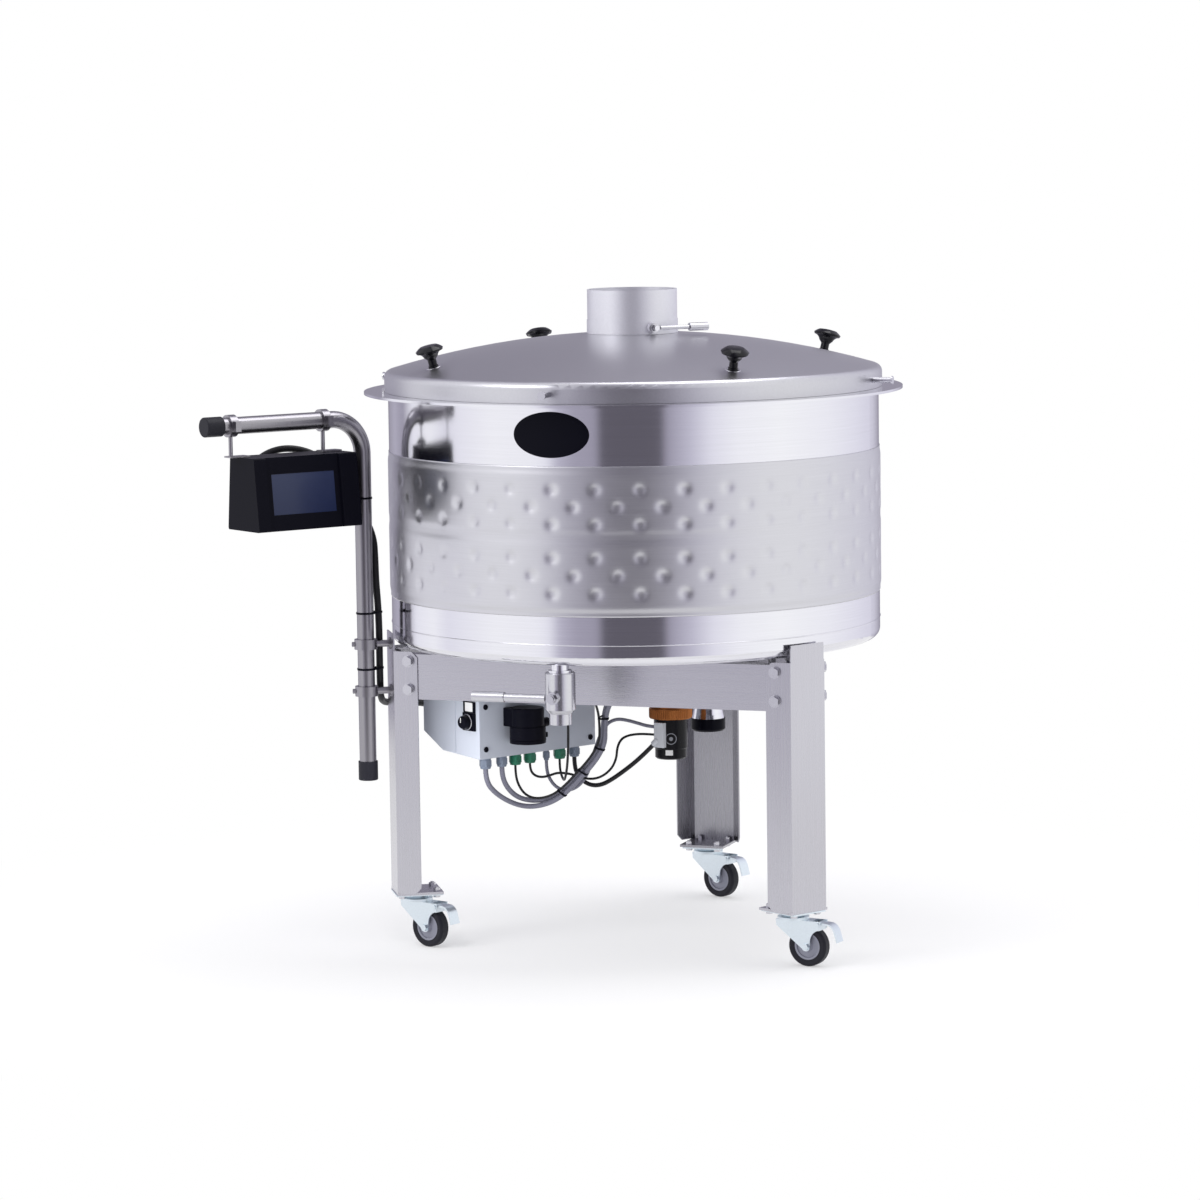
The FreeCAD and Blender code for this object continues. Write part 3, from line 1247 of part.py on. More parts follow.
outlet_z = (pump_ring_top + volute_top) / 2 + 2
outlet_in = s.pump_ring_radius - 7
place(pump_blank, pump_at)
pump_housing = cut("pump_housing", pump_blank,
                   rod(12, 30, (s.pump_x, s.pump_y + outlet_in - 10, outlet_z), Y))
pump_motor = turned("pump_motor", [
    (0, pump_ring_bottom - 0.2),
    (s.motor_radius, pump_ring_bottom - 0.2),
    (s.motor_radius, motor_bottom + 22),
    (s.motor_radius - 2, motor_bottom + 20),
    (s.motor_radius - 2, motor_bottom + 3),
    (s.motor_radius - 5, motor_bottom),
    (0, motor_bottom),
])
place(pump_motor, pump_at)
box_side = compass(-105)
TERMINAL_DEPTH, TERMINAL_WIDTH, TERMINAL_HEIGHT = 10, 22, 50
terminal_turn = Rotation(box_side, Z.cross(box_side), Z, "ZXY")
terminal_from = s.motor_radius + 0.3
across_box = Z.cross(box_side) * (TERMINAL_WIDTH / 2)
terminal_block = block(
    TERMINAL_DEPTH, TERMINAL_WIDTH, TERMINAL_HEIGHT,
    (s.pump_x + terminal_from * box_side.x - across_box.x,
     s.pump_y + terminal_from * box_side.y - across_box.y, motor_bottom + 26),
    terminal_turn)
# Its gland slopes down beside the motor, towards the electronics housing
nub_start = (s.pump_x - 14, s.pump_y - 36.9, motor_bottom + 42)
nub_axis = Vector(-0.7065, 0.1894, -0.682)
NUB_RADIUS, NUB_LENGTH = 7, 16
pump_terminal_box = cut("pump_terminal_box",
                        join("terminal_blank", terminal_block,
                             rod(NUB_RADIUS, NUB_LENGTH, nub_start, nub_axis)),
                        rod(terminal_from, 200, (s.pump_x, s.pump_y, motor_bottom - 50)))
pipe_top = s.kettle_bottom + s.kettle_wall
suction = cut("suction_pipe", rod(s.pipe_radius, pipe_top - volute_top - 8.2,
                                  (s.pump_x, s.pump_y, volute_top + 8.2)),
              rod(pipe_in, 200, (s.pump_x, s.pump_y, volute_top)))
return_start = value(s.pump_y) + value(s.pump_ring_radius)
return_points = [Vector(value(s.pump_x), return_start, value(outlet_z)),
                 Vector(value(s.pump_x), value(return_y), value(outlet_z)),
                 Vector(value(s.pump_x), value(return_y), value(pipe_top))]
RETURN_BEND = 26
outer_return, _, _ = swept(return_points, radius=14, bend=RETURN_BEND)
inner_return, _, _ = swept(return_points, radius=12, bend=RETURN_BEND)
return_pipe = feature("return_pipe", outer_return.cut(inner_return))
collar = cut("return_collar", rod(s.pipe_radius, 12, (s.pump_x, return_y, pipe_top - 12)),
             rod(14, 40, (s.pump_x, return_y, pipe_top - 30)))
pump_pipes = group("pump_pipes", suction, return_pipe, collar)

# Clean-out: a socket under the kettle closed by a screw cap
cleanout_at = (s.cleanout_x, s.cleanout_y, 0)
cleanout_end = s.kettle_bottom - s.cleanout_drop
cleanout_socket = turned("cleanout_socket", [
    (s.cleanout_bore, cleanout_end),
    (s.cleanout_cap_radius - 2, cleanout_end),
    (s.cleanout_cap_radius - 4, cleanout_end + 8),
    (s.cleanout_bore + 2, cleanout_end + 26),
    (s.cleanout_bore + 2, s.kettle_bottom),
    (s.cleanout_bore, s.kettle_bottom),
])
place(cleanout_socket, cleanout_at)
kettle_outlets = group("kettle_outlets", drain_neck, cleanout_socket)
cleanout_cap = turned("cleanout_cap", [
    (0, cleanout_end - 0.2),
    (s.cleanout_cap_radius, cleanout_end - 0.2),
    (s.cleanout_cap_radius, cleanout_end - 22),
    (s.cleanout_cap_radius - 4, cleanout_end - 26),
    (0, cleanout_end - 26),
])
place(cleanout_cap, cleanout_at)

# Heating coil: one turn of element in the gap round the malt pipe, with both ends through the floor


def coil_turn():
    start, end = radians(COIL_AZIMUTH + COIL_GAP), radians(COIL_AZIMUTH + 360 - COIL_GAP)
    radius, height = value(coil_radius), value(floor_inside + s.coil_lift)
    drop = value(s.kettle_bottom) - COIL_TAIL
    half = value(s.coil_rod)
    face = Part.Wire(Part.makePolygon([
        Vector(radius - half, 0, height - half), Vector(radius + half, 0, height - half),
        Vector(radius + half, 0, height + half), Vector(radius - half, 0, height + half),
        Vector(radius - half, 0, height - half)]).Edges)
    band = Part.Face(face)
    band.rotate(Vector(0, 0, 0), Z, degrees(start))
    band = band.revolve(Vector(0, 0, 0), Z, degrees(end - start))
    legs_of_coil = [Part.makeCylinder(value(coil_leg), height - drop, Vector(value(x), value(y), drop), Z)
                    for x, y in coil_ends]
    return band.fuse(legs_of_coil).removeSplitter()


heating_coil = feature("heating_coil", coil_turn())

# Malt pipe: an open cylinder on feet, two sieve plates, and the rod and bar that hold them down
malt_pipe_radius = coil_radius - s.malt_pipe_gap
malt_pipe_bottom = floor_inside + s.malt_pipe_foot
malt_pipe_top = s.kettle_top - s.malt_pipe_drop
lower_sieve = malt_pipe_bottom + s.sieve_lift
upper_sieve = malt_pipe_top - s.sieve_drop
rod_top = malt_pipe_top + s.rod_rise
bar_length = 2 * (malt_pipe_radius + s.bar_overhang)
malt_inner = malt_pipe_radius - s.malt_pipe_wall
malt_wall = turned("malt_wall", [
    (malt_inner, malt_pipe_bottom),
    (malt_pipe_radius, malt_pipe_bottom),
    (malt_pipe_radius, malt_pipe_top),
    (malt_pipe_radius + 4, malt_pipe_top),
    (malt_pipe_radius + 4, malt_pipe_top + 4),
    (malt_inner, malt_pipe_top + 4),
])
ledges = turned("malt_ledge", [
    (malt_inner - 14, lower_sieve - 3.2),
    (malt_inner, lower_sieve - 3.2),
    (malt_inner, lower_sieve - 0.2),
    (malt_inner - 14, lower_sieve - 0.2),
])
malt_feet = [block(20, 12, s.malt_pipe_foot,
                   turn=Rotation(Z, azimuth),
                   at=(*polar(malt_pipe_radius - 20, azimuth), floor_inside))
             for azimuth in (0, 90, 180, 270)]
malt_pipe = join("malt_pipe", malt_wall, ledges, *malt_feet)
rod_hole = s.rod_radius + 0.5
sieves = []
for label, height in (("lower", lower_sieve), ("upper", upper_sieve)):
    disc = rod(malt_inner - 1, s.sieve_sheet, (0, 0, height))
    sieves.append(cut(f"{label}_sieve", disc, rod(rod_hole, 20, (0, 0, height - 10))))
sieve_plates = group("sieve_plates", *sieves)
bar_z = malt_pipe_top + 4.3
BAR_HEIGHT, BAR_WIDTH = 12, 34
hold_down_rod = join(
    "hold_down_rod",
    rod(s.rod_radius, rod_top - floor_inside - 0.3, (0, 0, floor_inside + 0.3)),
    rod(24, 5, (0, 0, floor_inside + 0.3)),
)
wing = [block(58, 6, 16, (-29, -3, bar_z + BAR_HEIGHT + 6)), rod(15, 14, (0, 0, bar_z + BAR_HEIGHT + 0.3))]
wing_nut = cut("wing_nut", join("wing_blank", *wing), rod(rod_hole, 60, (0, 0, bar_z)))
bar = cut("hold_bar", block(bar_length, BAR_WIDTH, BAR_HEIGHT,
                            (bar_length / -2, BAR_WIDTH / -2, bar_z)),
          rod(rod_hole, 60, (0, 0, bar_z - 10)))
hold_down = group("hold_down", hold_down_rod, bar, wing_nut)

# Temperature probe: a short sheath up through the kettle's bottom, with its hexagon below
probe_nut = 12
temperature_probe = join(
    "temperature_probe",
    rod(s.probe_radius, s.probe_length + probe_nut, (s.probe_x, s.probe_y, s.kettle_bottom - probe_nut)),
    hexagon(8, probe_nut, (s.probe_x, s.probe_y, s.kettle_bottom - probe_nut)),
)

# Cables, each a plain round tube along its own route from a gland to what it feeds
CABLE_GAP = 0.15
gland_tip = value(housing_bottom - s.gland_length) + GLAND_SEAT - CABLE_GAP


def from_gland(name, run_end):
    """The first run of a cable, straight down from the middle of its gland to a height."""
    x, y, _ = on_housing(GLANDS[name][1], s.gland_inset, 0)
    return [(value(x), value(y), gland_tip), (value(x), value(y), run_end)]


def to_terminal(place_xy, heading):
    """The last points of a cable that turns up into a vertical terminal."""
    level = compass(heading)
    x, y = (value(v) for v in place_xy)
    top = value(s.kettle_bottom) - COIL_TAIL - 0.2
    return [(x - 24.6 * level.x, y - 24.6 * level.y, top - 42.6),
            (x - 9 * level.x, y - 9 * level.y, top - 33.6),
            (x, y, top - 18), (x, y, top)]


first_heater = [
    *from_gland("first heater", 335), (-231, -200, 307), (-210, -163, 283), (-188, -132, 272),
    (-156, -126, 277), (-125, -131, 291), (-98, -134, 313), (-76, -136, 336), (-54, -139, 358),
    (-34, -141, 383), (-20, -142, 411), (-20, -143, 441), (-14, -146, 478), (8, -151, 514),
    (45, -158, 540), (95, -166, 549), (150, -174, 551), (205, -182, 552), (258, -192, 551),
    (302, -204, 550.5), *to_terminal(coil_ends[0], -26.6),
]
second_heater = [
    *from_gland("second heater", 341), (-216, -174, 314), (-203, -150, 293), (-184, -125, 284),
    (-158, -118, 286), (-130, -122, 297), (-103, -125, 319), (-81, -127, 342), (-59, -130, 364),
    (-39, -132, 389), (-27, -133.5, 417), (-26, -134, 447), (-19, -137.5, 484), (3, -142.5, 520),
    (41, -149, 546), (92, -157, 555), (147, -165.5, 557), (202, -173.5, 558), (253, -180, 557),
    (288, -184.5, 555), (322, -188.5, 551.5), *to_terminal(coil_ends[1], -4),
]
earth_lead = [
    *from_gland("earth", 340), (-201, -152, 318), (-190, -147, 300), (-172, -144, 292),
    (-150, -141, 294), (-126, -142, 304), (-102, -145, 324), (-80, -147, 347), (-58, -150, 369),
    (-40, -152, 392), (-28, -153, 416), (-27, -154, 441), (-27, -158, 470), (-30, -175, 500),
    (-34, -205, 522), (-36, -236, 534), (-36.5, -261, 538), (-36, -282.8, 538),
]
pump_supply = [
    *from_gland("pump supply", 337), (-118, -22, 319), (-104, -22, 307), (-86, -22, 302.5),
    (-67, -22, 306.5), (-49.5, -21.7, 316.5), (-32.5, -21.3, 328), (-17, -20.9, 339.5),
    (-1, -20.6, 352), (14, -20.8, 365.2), (28.4, -22.04, 378.3), (42.55, -25.83, 391.95),
]
pump_signal = [
    *from_gland("pump signal", 342), (-159, -85, 322), (-146, -83, 306), (-126, -80, 299),
    (-105, -77, 306), (-89, -74, 323), (-78, -71, 346), (-72, -68.5, 371), (-64, -65, 396),
    (-56, -60, 419), (-45, -52, 437), (-28, -42, 444), (-9, -33, 440), (10, -26, 434),
    (29.6, -22.4, 428), (47.0, -27.06, 428),
]
pump_sensor = [
    *from_gland("pump sensor", 346), (-178, -120, 334), (-163, -117, 331), (-148, -113, 335),
    (-132, -109, 341), (-105, -104, 338), (-76, -96, 327), (-50, -90, 330), (-28, -84, 347),
    (-18, -80, 369), (-17, -78, 391), (-13, -66, 406), (-6, -48, 411), (5, -30, 412),
    (24, -20.9, 412), (47.0, -27.06, 412),
]
probe_lead = [
    *from_gland("probe", 344), (-140, -70, 331), (-128, -92, 325), (-116, -117, 327),
    (-104, -142, 341), (-93, -164, 362), (-85, -181, 388), (-80.5, -190, 420), (-79.2, -193, 462),
    (-77.6, -193.8, 510), (-76.6, -193.2, 558), (value(s.probe_x), value(s.probe_y), 594.8),
]

grey_cables = group(
    "grey_cables",
    feature("first_heater_cable", cord("first heater cable", first_heater, 4.5)),
    feature("second_heater_cable", cord("second heater cable", second_heater, 4.5)),
    feature("pump_signal_lead", cord("pump signal lead", pump_signal, 3.5)),
)

# The display's cable comes down beside the arm's tube, goes round the left leg's flange below
# the arm's brackets and into the back of the electronics housing
leg_out, leg_side = compass(-150), compass(-60)
DISPLAY_CABLE = 7
beside_leg = [
    (519.6, -14.6, 650), (519.6, -14.5, 610), (519.6, -14.6, 563), (519, -18.1, 527), (516, -36, 499),
    (506, -68, 484), (483, -94, 479), (455.6, -98.5, 478), (429.6, -83.5, 478), (414.7, -57.7, 478),
]
lower_display = [(x * leg_out.x + y * leg_side.x, x * leg_out.y + y * leg_side.y, z)
                 for x, y, z in beside_leg]
along_the_arm = [
    (215, -36.3, 940), (215, -62, 940), (210, -86, 952), (192, -100, 976), (160, -94, 998),
    (125, -76, 1006), (86, -55, 996), (52, -42, 970), (24, -34, 936), (2, -29, 900),
    (-17, -22, 862), (-26.5, -5, 822), (-25.2, 0.5, 780), (-26.4, 0, 735), (-30.2, -0.3, 692),
    (-32.45, -1, 650.5),
]
upper_display = [[value(v) for v in on_arm(*spot)] for spot in along_the_arm]
black_cables = group(
    "black_cables",
    feature("lower_display_cable", cord("lower display cable", lower_display, DISPLAY_CABLE)),
    feature("earth_lead", cord("earth lead", earth_lead, 2.5)),
    feature("pump_supply", cord("pump supply", pump_supply, 4.5)),
    feature("pump_sensor_lead", cord("pump sensor lead", pump_sensor, 2.5)),
    feature("probe_lead", cord("probe lead", probe_lead, 2.5)),
)
display_cable_upper = feature("display_cable_upper",
                              cord("upper display cable", upper_display, DISPLAY_CABLE))

NODES = [
    kettle, cooling_jacket, kettle_outlets, valve_body, valve_ball, valve_lever,
    *legs.values(), *beams.values(), frame_bolts, kettle_pads, castor_plates,
    *[node for nodes in castors for node in nodes],
    hood, flue_pipe, hood_knobs, hood_pins, damper_disc, damper_lever,
    control_arm, arm_end_caps, tube_clamps, box_hangers, control_housing, display_screen,
    display_cable_upper, electronics_housing, housing_brackets, power_inlet, lid, switch_base,
    main_switch_knob, grey_glands, green_glands, grey_cables, black_cables,
    pump_housing, pump_motor, pump_terminal_box, pump_pipes, cleanout_cap,
    heating_coil, malt_pipe, sieve_plates, hold_down, temperature_probe,
]

doc.recompute()
for item in doc.Objects:
    bad = [state for state in item.State if state in ("Invalid", "Error")]
    if bad:
        raise ValueError(f"{item.Label} of {[o.Label for o in item.InList]} is {bad}")
for node in NODES:
    if node.Shape.isNull() or not node.Shape.isValid() or not node.Shape.Solids:
        raise ValueError(f"{node.Label} has no valid shape")
os.makedirs("parts", exist_ok=True)
for node in NODES:
    node.Shape.exportStep(f"parts/{node.Label}.step")
print(len(NODES), "nodes written")
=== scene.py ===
import json
from math import ceil, cos, exp, hypot, pi, radians, sin

import bmesh
import bpy
from mathutils import Matrix, Vector


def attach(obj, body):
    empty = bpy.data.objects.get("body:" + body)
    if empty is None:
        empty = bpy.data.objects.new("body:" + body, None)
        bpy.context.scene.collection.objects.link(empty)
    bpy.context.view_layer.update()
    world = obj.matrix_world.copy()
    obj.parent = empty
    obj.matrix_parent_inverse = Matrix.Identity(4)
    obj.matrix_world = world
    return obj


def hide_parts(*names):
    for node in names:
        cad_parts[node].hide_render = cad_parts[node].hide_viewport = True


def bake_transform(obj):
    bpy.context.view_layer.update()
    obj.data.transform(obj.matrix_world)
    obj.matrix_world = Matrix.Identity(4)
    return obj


# Looks of the electric brewing system: metals and plastics, the dimpled cooling jacket, cables,
# weld seams and small fastenings, set on the CAD frame. Lengths are in metres; the routes of the
# cables and the places on the electronics housing are in millimetres, as in the CAD.

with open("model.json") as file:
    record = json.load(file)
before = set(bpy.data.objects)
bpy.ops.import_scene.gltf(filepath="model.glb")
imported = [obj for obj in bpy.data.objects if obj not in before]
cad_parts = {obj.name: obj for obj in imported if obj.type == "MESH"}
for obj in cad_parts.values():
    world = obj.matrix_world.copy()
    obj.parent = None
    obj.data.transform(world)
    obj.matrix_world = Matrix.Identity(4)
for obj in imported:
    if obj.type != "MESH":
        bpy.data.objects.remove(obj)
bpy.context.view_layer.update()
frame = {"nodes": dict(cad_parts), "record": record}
nodes, record = frame["nodes"], frame["record"]
MM = 0.001
UPRIGHT = (0, 0, 1)


# Materials: each is one procedural surface, with its grain laid along the piece

class Nodes:
    """The nodes of a material or a world, with short calls that add and link them."""

    def __init__(self, owner):
        owner.use_nodes = True
        self.tree = owner.node_tree

    def node(self, kind, **settings):
        node = self.tree.nodes.new(kind)
        for key, amount in settings.items():
            setattr(node, key, amount)
        return node

    def link(self, source, target):
        self.tree.links.new(source, target)


class Surface(Nodes):
    """A Principled material with noise in its colour and roughness."""

    def __init__(self, name, metallic=0.0):
        self.material = bpy.data.materials.new(name)
        super().__init__(self.material)
        self.shader = self.tree.nodes["Principled BSDF"]
        self.shader.inputs["Metallic"].default_value = metallic

    def noise(self, grain, detail):
        """Noise over the places on the object, which the grain squeezes along each axis."""
        place = self.node("ShaderNodeTexCoord")
        mapping = self.node("ShaderNodeMapping")
        mapping.inputs["Scale"].default_value = grain
        self.link(place.outputs["Object"], mapping.inputs["Vector"])
        noise = self.node("ShaderNodeTexNoise")
        noise.inputs["Scale"].default_value = 1.0
        noise.inputs["Detail"].default_value = detail
        self.link(mapping.outputs["Vector"], noise.inputs["Vector"])
        return noise.outputs["Fac"]

    def colour(self, factor, first, second):
        mix = self.node("ShaderNodeMix", data_type="RGBA")
        self.link(factor, mix.inputs["Factor"])
        mix.inputs["A"].default_value = (*first, 1)
        mix.inputs["B"].default_value = (*second, 1)
        self.link(mix.outputs["Result"], self.shader.inputs["Base Color"])

    def roughness(self, factor, low, high):
        spread = self.node("ShaderNodeMapRange")
        spread.inputs["To Min"].default_value = low
        spread.inputs["To Max"].default_value = high
        self.link(factor, spread.inputs["Value"])
        self.link(spread.outputs["Result"], self.shader.inputs["Roughness"])

    def bump(self, height, strength, distance):
        bump = self.node("ShaderNodeBump")
        bump.inputs["Strength"].default_value = strength
        bump.inputs["Distance"].default_value = distance
        self.link(height, bump.inputs["Height"])
        self.link(bump.outputs["Normal"], self.shader.inputs["Normal"])


def shade(colour, factor):
    return tuple(min(c * factor, 1.0) for c in colour)


METAL_TONES, METAL_DETAIL, METAL_RELIEF = (0.93, 1.05), 4.0, 0.0004
PLASTIC_TONES, PLASTIC_DETAIL, PLASTIC_RELIEF = (0.9, 1.1), 2.0, 0.0002
PLASTIC_GRAIN = (900, 900, 900)


def metal(name, colour, low, high, grain, strength=0.08):
    """Brushed or drawn metal whose scratches run across the larger numbers of its grain."""
    surface = Surface(name, metallic=1.0)
    fine = surface.noise(grain, METAL_DETAIL)
    dark, light = (shade(colour, tone) for tone in METAL_TONES)
    surface.colour(fine, dark, light)
    surface.roughness(fine, low, high)
    surface.bump(fine, strength, METAL_RELIEF)
    return surface.material


def plastic(name, colour, low, high, gloss=0.5, strength=0.15):
    """Moulded plastic or rubber with a fine even grain."""
    surface = Surface(name)
    surface.shader.inputs["Specular IOR Level"].default_value = gloss
    fine = surface.noise(PLASTIC_GRAIN, PLASTIC_DETAIL)
    dark, light = (shade(colour, tone) for tone in PLASTIC_TONES)
    surface.colour(fine, dark, light)
    surface.roughness(fine, low, high)
    surface.bump(fine, strength, PLASTIC_RELIEF)
    return surface.material


def screen_with_painted_reflection():
    """A dark display behind glass, with a painted reflection that makes it a little lighter towards its
    upper edge.
    """
    lower, upper = (0.011, 0.018, 0.058), (0.024, 0.033, 0.08)
    surface = Surface("screen")
    place = surface.node("ShaderNodeTexCoord")
    split = surface.node("ShaderNodeSeparateXYZ")
    surface.link(place.outputs["Generated"], split.inputs["Vector"])
    # Painted reflection: the colour lightens from the lower edge to the upper edge
    surface.colour(split.outputs["Z"], lower, upper)
    surface.shader.inputs["Roughness"].default_value = 0.12
    surface.shader.inputs["Specular IOR Level"].default_value = 0.3
    return surface.material


STEEL, FRAME_STEEL, TUBE_STEEL = (0.70, 0.697, 0.735), (0.54, 0.533, 0.575), (0.33, 0.32, 0.345)
ROUND_GRAIN, UPRIGHT_GRAIN, EVEN_GRAIN = (5, 5, 900), (700, 700, 6), (260, 260, 260)
JACKET_GRAIN = (12, 12, 500)

# Each metal: colour, lowest and highest roughness, grain and, in some, how strong its scratches are
METALS = {
    "stainless": (shade(STEEL, 1.08), 0.08, 0.15, ROUND_GRAIN, 0.05),
    "jacket": (shade(STEEL, 0.88), 0.31, 0.38, JACKET_GRAIN, 0.05),
    "hood_steel": (shade(STEEL, 0.84), 0.29, 0.37, EVEN_GRAIN, 0.05),
    "flue_steel": (shade(STEEL, 1.08), 0.46, 0.56, EVEN_GRAIN, 0.05),
    "frame_steel": (FRAME_STEEL, 0.22, 0.32, ROUND_GRAIN),
    # The rear leg's steel is the frame steel darkened: a painted shade for the kettle's shadow over
    # that leg
    "rear_steel_painted_shade": (shade(FRAME_STEEL, 0.72), 0.22, 0.32, UPRIGHT_GRAIN),
    "leg_steel": (FRAME_STEEL, 0.22, 0.32, UPRIGHT_GRAIN),
    "tube_steel": (TUBE_STEEL, 0.24, 0.34, UPRIGHT_GRAIN),
    "valve_steel": (shade(STEEL, 0.86), 0.14, 0.24, EVEN_GRAIN),
    "bolt_steel": (shade(STEEL, 0.92), 0.2, 0.3, EVEN_GRAIN),
    "coil_steel": (shade(STEEL, 0.6), 0.35, 0.5, EVEN_GRAIN),
    "zinc": ((0.72, 0.79, 0.84), 0.28, 0.38, EVEN_GRAIN),
    "bronze": ((0.36, 0.13, 0.04), 0.35, 0.5, EVEN_GRAIN),
}
# Each plastic: colour, lowest and highest roughness and, in some, its gloss and how strong its grain is
PLASTICS = {
    "black_plastic": ((0.004, 0.004, 0.008), 0.3, 0.42, 0.05),
    "knob_black": ((0.004, 0.004, 0.006), 0.13, 0.18, 0.28, 0.03),
    "motor_black": ((0.006, 0.006, 0.008), 0.22, 0.32, 0.16),
    "black_rubber": ((0.014, 0.014, 0.02), 0.42, 0.55, 0.2),
    "hub_plastic": ((0.24, 0.245, 0.3), 0.45, 0.55),
    "pale_plastic": ((0.58, 0.60, 0.64), 0.4, 0.5),
    "grey_plastic": ((0.47, 0.50, 0.57), 0.45, 0.55),
    "gland_grey": ((0.15, 0.18, 0.24), 0.4, 0.5),
    "gland_green": ((0.006, 0.13, 0.07), 0.35, 0.45),
    "grey_cable": ((0.165, 0.165, 0.215), 0.35, 0.45),
    "black_cable": ((0.010, 0.010, 0.012), 0.35, 0.45, 0.3),
    "white_print": ((0.75, 0.75, 0.75), 0.4, 0.5),
    "grey_print": ((0.24, 0.25, 0.28), 0.4, 0.5),
}
MATERIALS = {name: metal(name, *look) for name, look in METALS.items()}
MATERIALS.update({name: plastic(name, *look) for name, look in PLASTICS.items()})
MATERIALS["screen"] = screen_with_painted_reflection()

# Each CAD node gets the look of its slot in the record, apart from a few with one of their own
NODE_LOOKS = {entry["node"]: entry["material_slot"] for entry in record["subparts"]}
# The rear leg takes the darkened copy of the frame steel, which is painted shade
NODE_LOOKS.update({"left_leg": "leg_steel", "right_leg": "leg_steel", "rear_leg": "rear_steel_painted_shade",
                   "hood": "hood_steel", "flue_pipe": "flue_steel", "hood_knobs": "knob_black"})
for name, item in nodes.items():
    item.data.materials.clear()
    item.data.materials.append(MATERIALS[NODE_LOOKS[name]])


# Helpers that make meshes

def level_vector(azimuth, length=1.0):
    """A level vector of a length towards an azimuth in degrees."""
    angle = radians(azimuth)
    return Vector((length * cos(angle), length * sin(angle), 0))


def frame_of(axis):
    """Two unit vectors that make a right-handed frame with an axis, and the axis as the third."""
    axis = Vector(axis).normalized()
    other = Vector((0, 0, 1)) if abs(axis.z) < 0.9 else Vector((1, 0, 0))
    side = axis.cross(other).normalized()
    return side, axis.cross(side), axis


def piece(name, points, faces, material, body, smooth=True):
    """A mesh that rides on a body."""
    mesh = bpy.data.meshes.new(name)
    mesh.from_pydata([tuple(p) for p in points], [], faces)
    mesh.materials.append(MATERIALS[material])
    mesh.polygons.foreach_set("use_smooth", [smooth] * len(mesh.polygons))
    mesh.validate()
    mesh.update()
    item = bpy.data.objects.new(name, mesh)
    bpy.context.scene.collection.objects.link(item)
    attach(item, body)
    return item


def merge_ends(item):
    """Joins points that fall together, such as a profile's end on its axis."""
    work = bmesh.new()
    work.from_mesh(item.data)
    bmesh.ops.remove_doubles(work, verts=work.verts, dist=1e-6)
    bmesh.ops.recalc_face_normals(work, faces=work.faces)
    work.to_mesh(item.data)
    work.free()


def section_faces(sections, size, closed=True):
    """Quads all round between sections of so many points, which are closed loops or open lines."""
    faces = []
    rows = size if closed else size - 1
    for k in range(sections):
        following = (k + 1) % sections
        for i in range(rows):
            j = (i + 1) % size
            faces.append((k * size + i, following * size + i, following * size + j, k * size + j))
    return faces


def loop_faces(loops, around, first=0):
    """Quads from each closed loop of points to the next one out; first is the first loop's start."""
    faces = []
    for k in range(loops - 1):
        near, far = first + k * around, first + (k + 1) * around
        for i in range(around):
            j = (i + 1) % around
            faces.append((near + i, far + i, far + j, near + j))
    return faces


def lathe(name, profile, centre, axis, material, body, segments, closed=True):
    """A body of revolution from (radius, height) points, closed into a ring or onto its axis."""
    side, up, axis = frame_of(axis)
    centre = Vector(centre)
    points = []
    for k in range(segments):
        a = 2 * pi * k / segments
        out = side * cos(a) + up * sin(a)
        points += [centre + out * r + axis * z for r, z in profile]
    item = piece(name, points, section_faces(segments, len(profile), closed), material, body)
    if not closed:
        merge_ends(item)
    return item


def ring(name, radius, section, centre, axis, material, body, segments=96):
    """A round bead along a circle."""
    sides = 8
    profile = [(radius + section * cos(2 * pi * k / sides), section * sin(2 * pi * k / sides))
               for k in range(sides)]
    lathe(name, profile, centre, axis, material, body, segments)


def screw(name, centre, axis, radius, height, material, body):
    """A low socket-head screw."""
    socket, crown = radius * 0.5, radius * 0.85
    shoulder, depth = height * 0.7, height * 0.4
    profile = [(radius, 0), (radius, shoulder), (crown, height), (socket, height), (socket, depth),
               (0, depth)]
    lathe(name, profile, centre, axis, material, body, 20, closed=False)


def left_turn(a, b, c):
    """Above zero where the flat path over three points turns left."""
    return (b[0] - a[0]) * (c[1] - a[1]) - (b[1] - a[1]) * (c[0] - a[0])


def hull(points):
    """The convex outline of flat points, counter-clockwise."""
    points = sorted(set(points))

    def half(walk):
        chain = []
        for p in walk:
            while len(chain) > 1 and left_turn(chain[-2], chain[-1], p) <= 0:
                chain.pop()
            chain.append(p)
        return chain[:-1]

    return half(points) + half(reversed(points))


def tie(name, rounds, along, body):
    """A cable tie pulled round several round sections, each given by its centre and radius."""
    width, thickness, sides = 0.004, 0.0011, 32
    side, up, along = frame_of(along)
    origin = Vector(rounds[0][0])
    inner = []
    for centre, radius in rounds:
        offset = Vector(centre) - origin
        x, y = offset.dot(side), offset.dot(up)
        for k in range(sides):
            a = 2 * pi * k / sides
            inner.append((x + radius * cos(a), y + radius * sin(a)))
    inner = hull(inner)
    n = len(inner)
    mid = Vector((sum(p[0] for p in inner) / n, sum(p[1] for p in inner) / n))
    outer = []
    for p in inner:
        out = (Vector(p) - mid).normalized() * thickness
        outer.append((p[0] + out.x, p[1] + out.y))
    points, faces = [], []
    # The points are four loops, inner and outer along one edge and then along the other
    for level in (-width / 2, width / 2):
        for loop in (inner, outer):
            points += [origin + side * x + up * y + along * level for x, y in loop]
    for i in range(n):
        j = (i + 1) % n
        faces += [(i, j, n + j, n + i), (2 * n + j, 2 * n + i, 3 * n + i, 3 * n + j),
                  (n + i, n + j, 3 * n + j, 3 * n + i), (j, i, 2 * n + i, 2 * n + j)]
    piece(name, points, faces, "black_plastic", body)


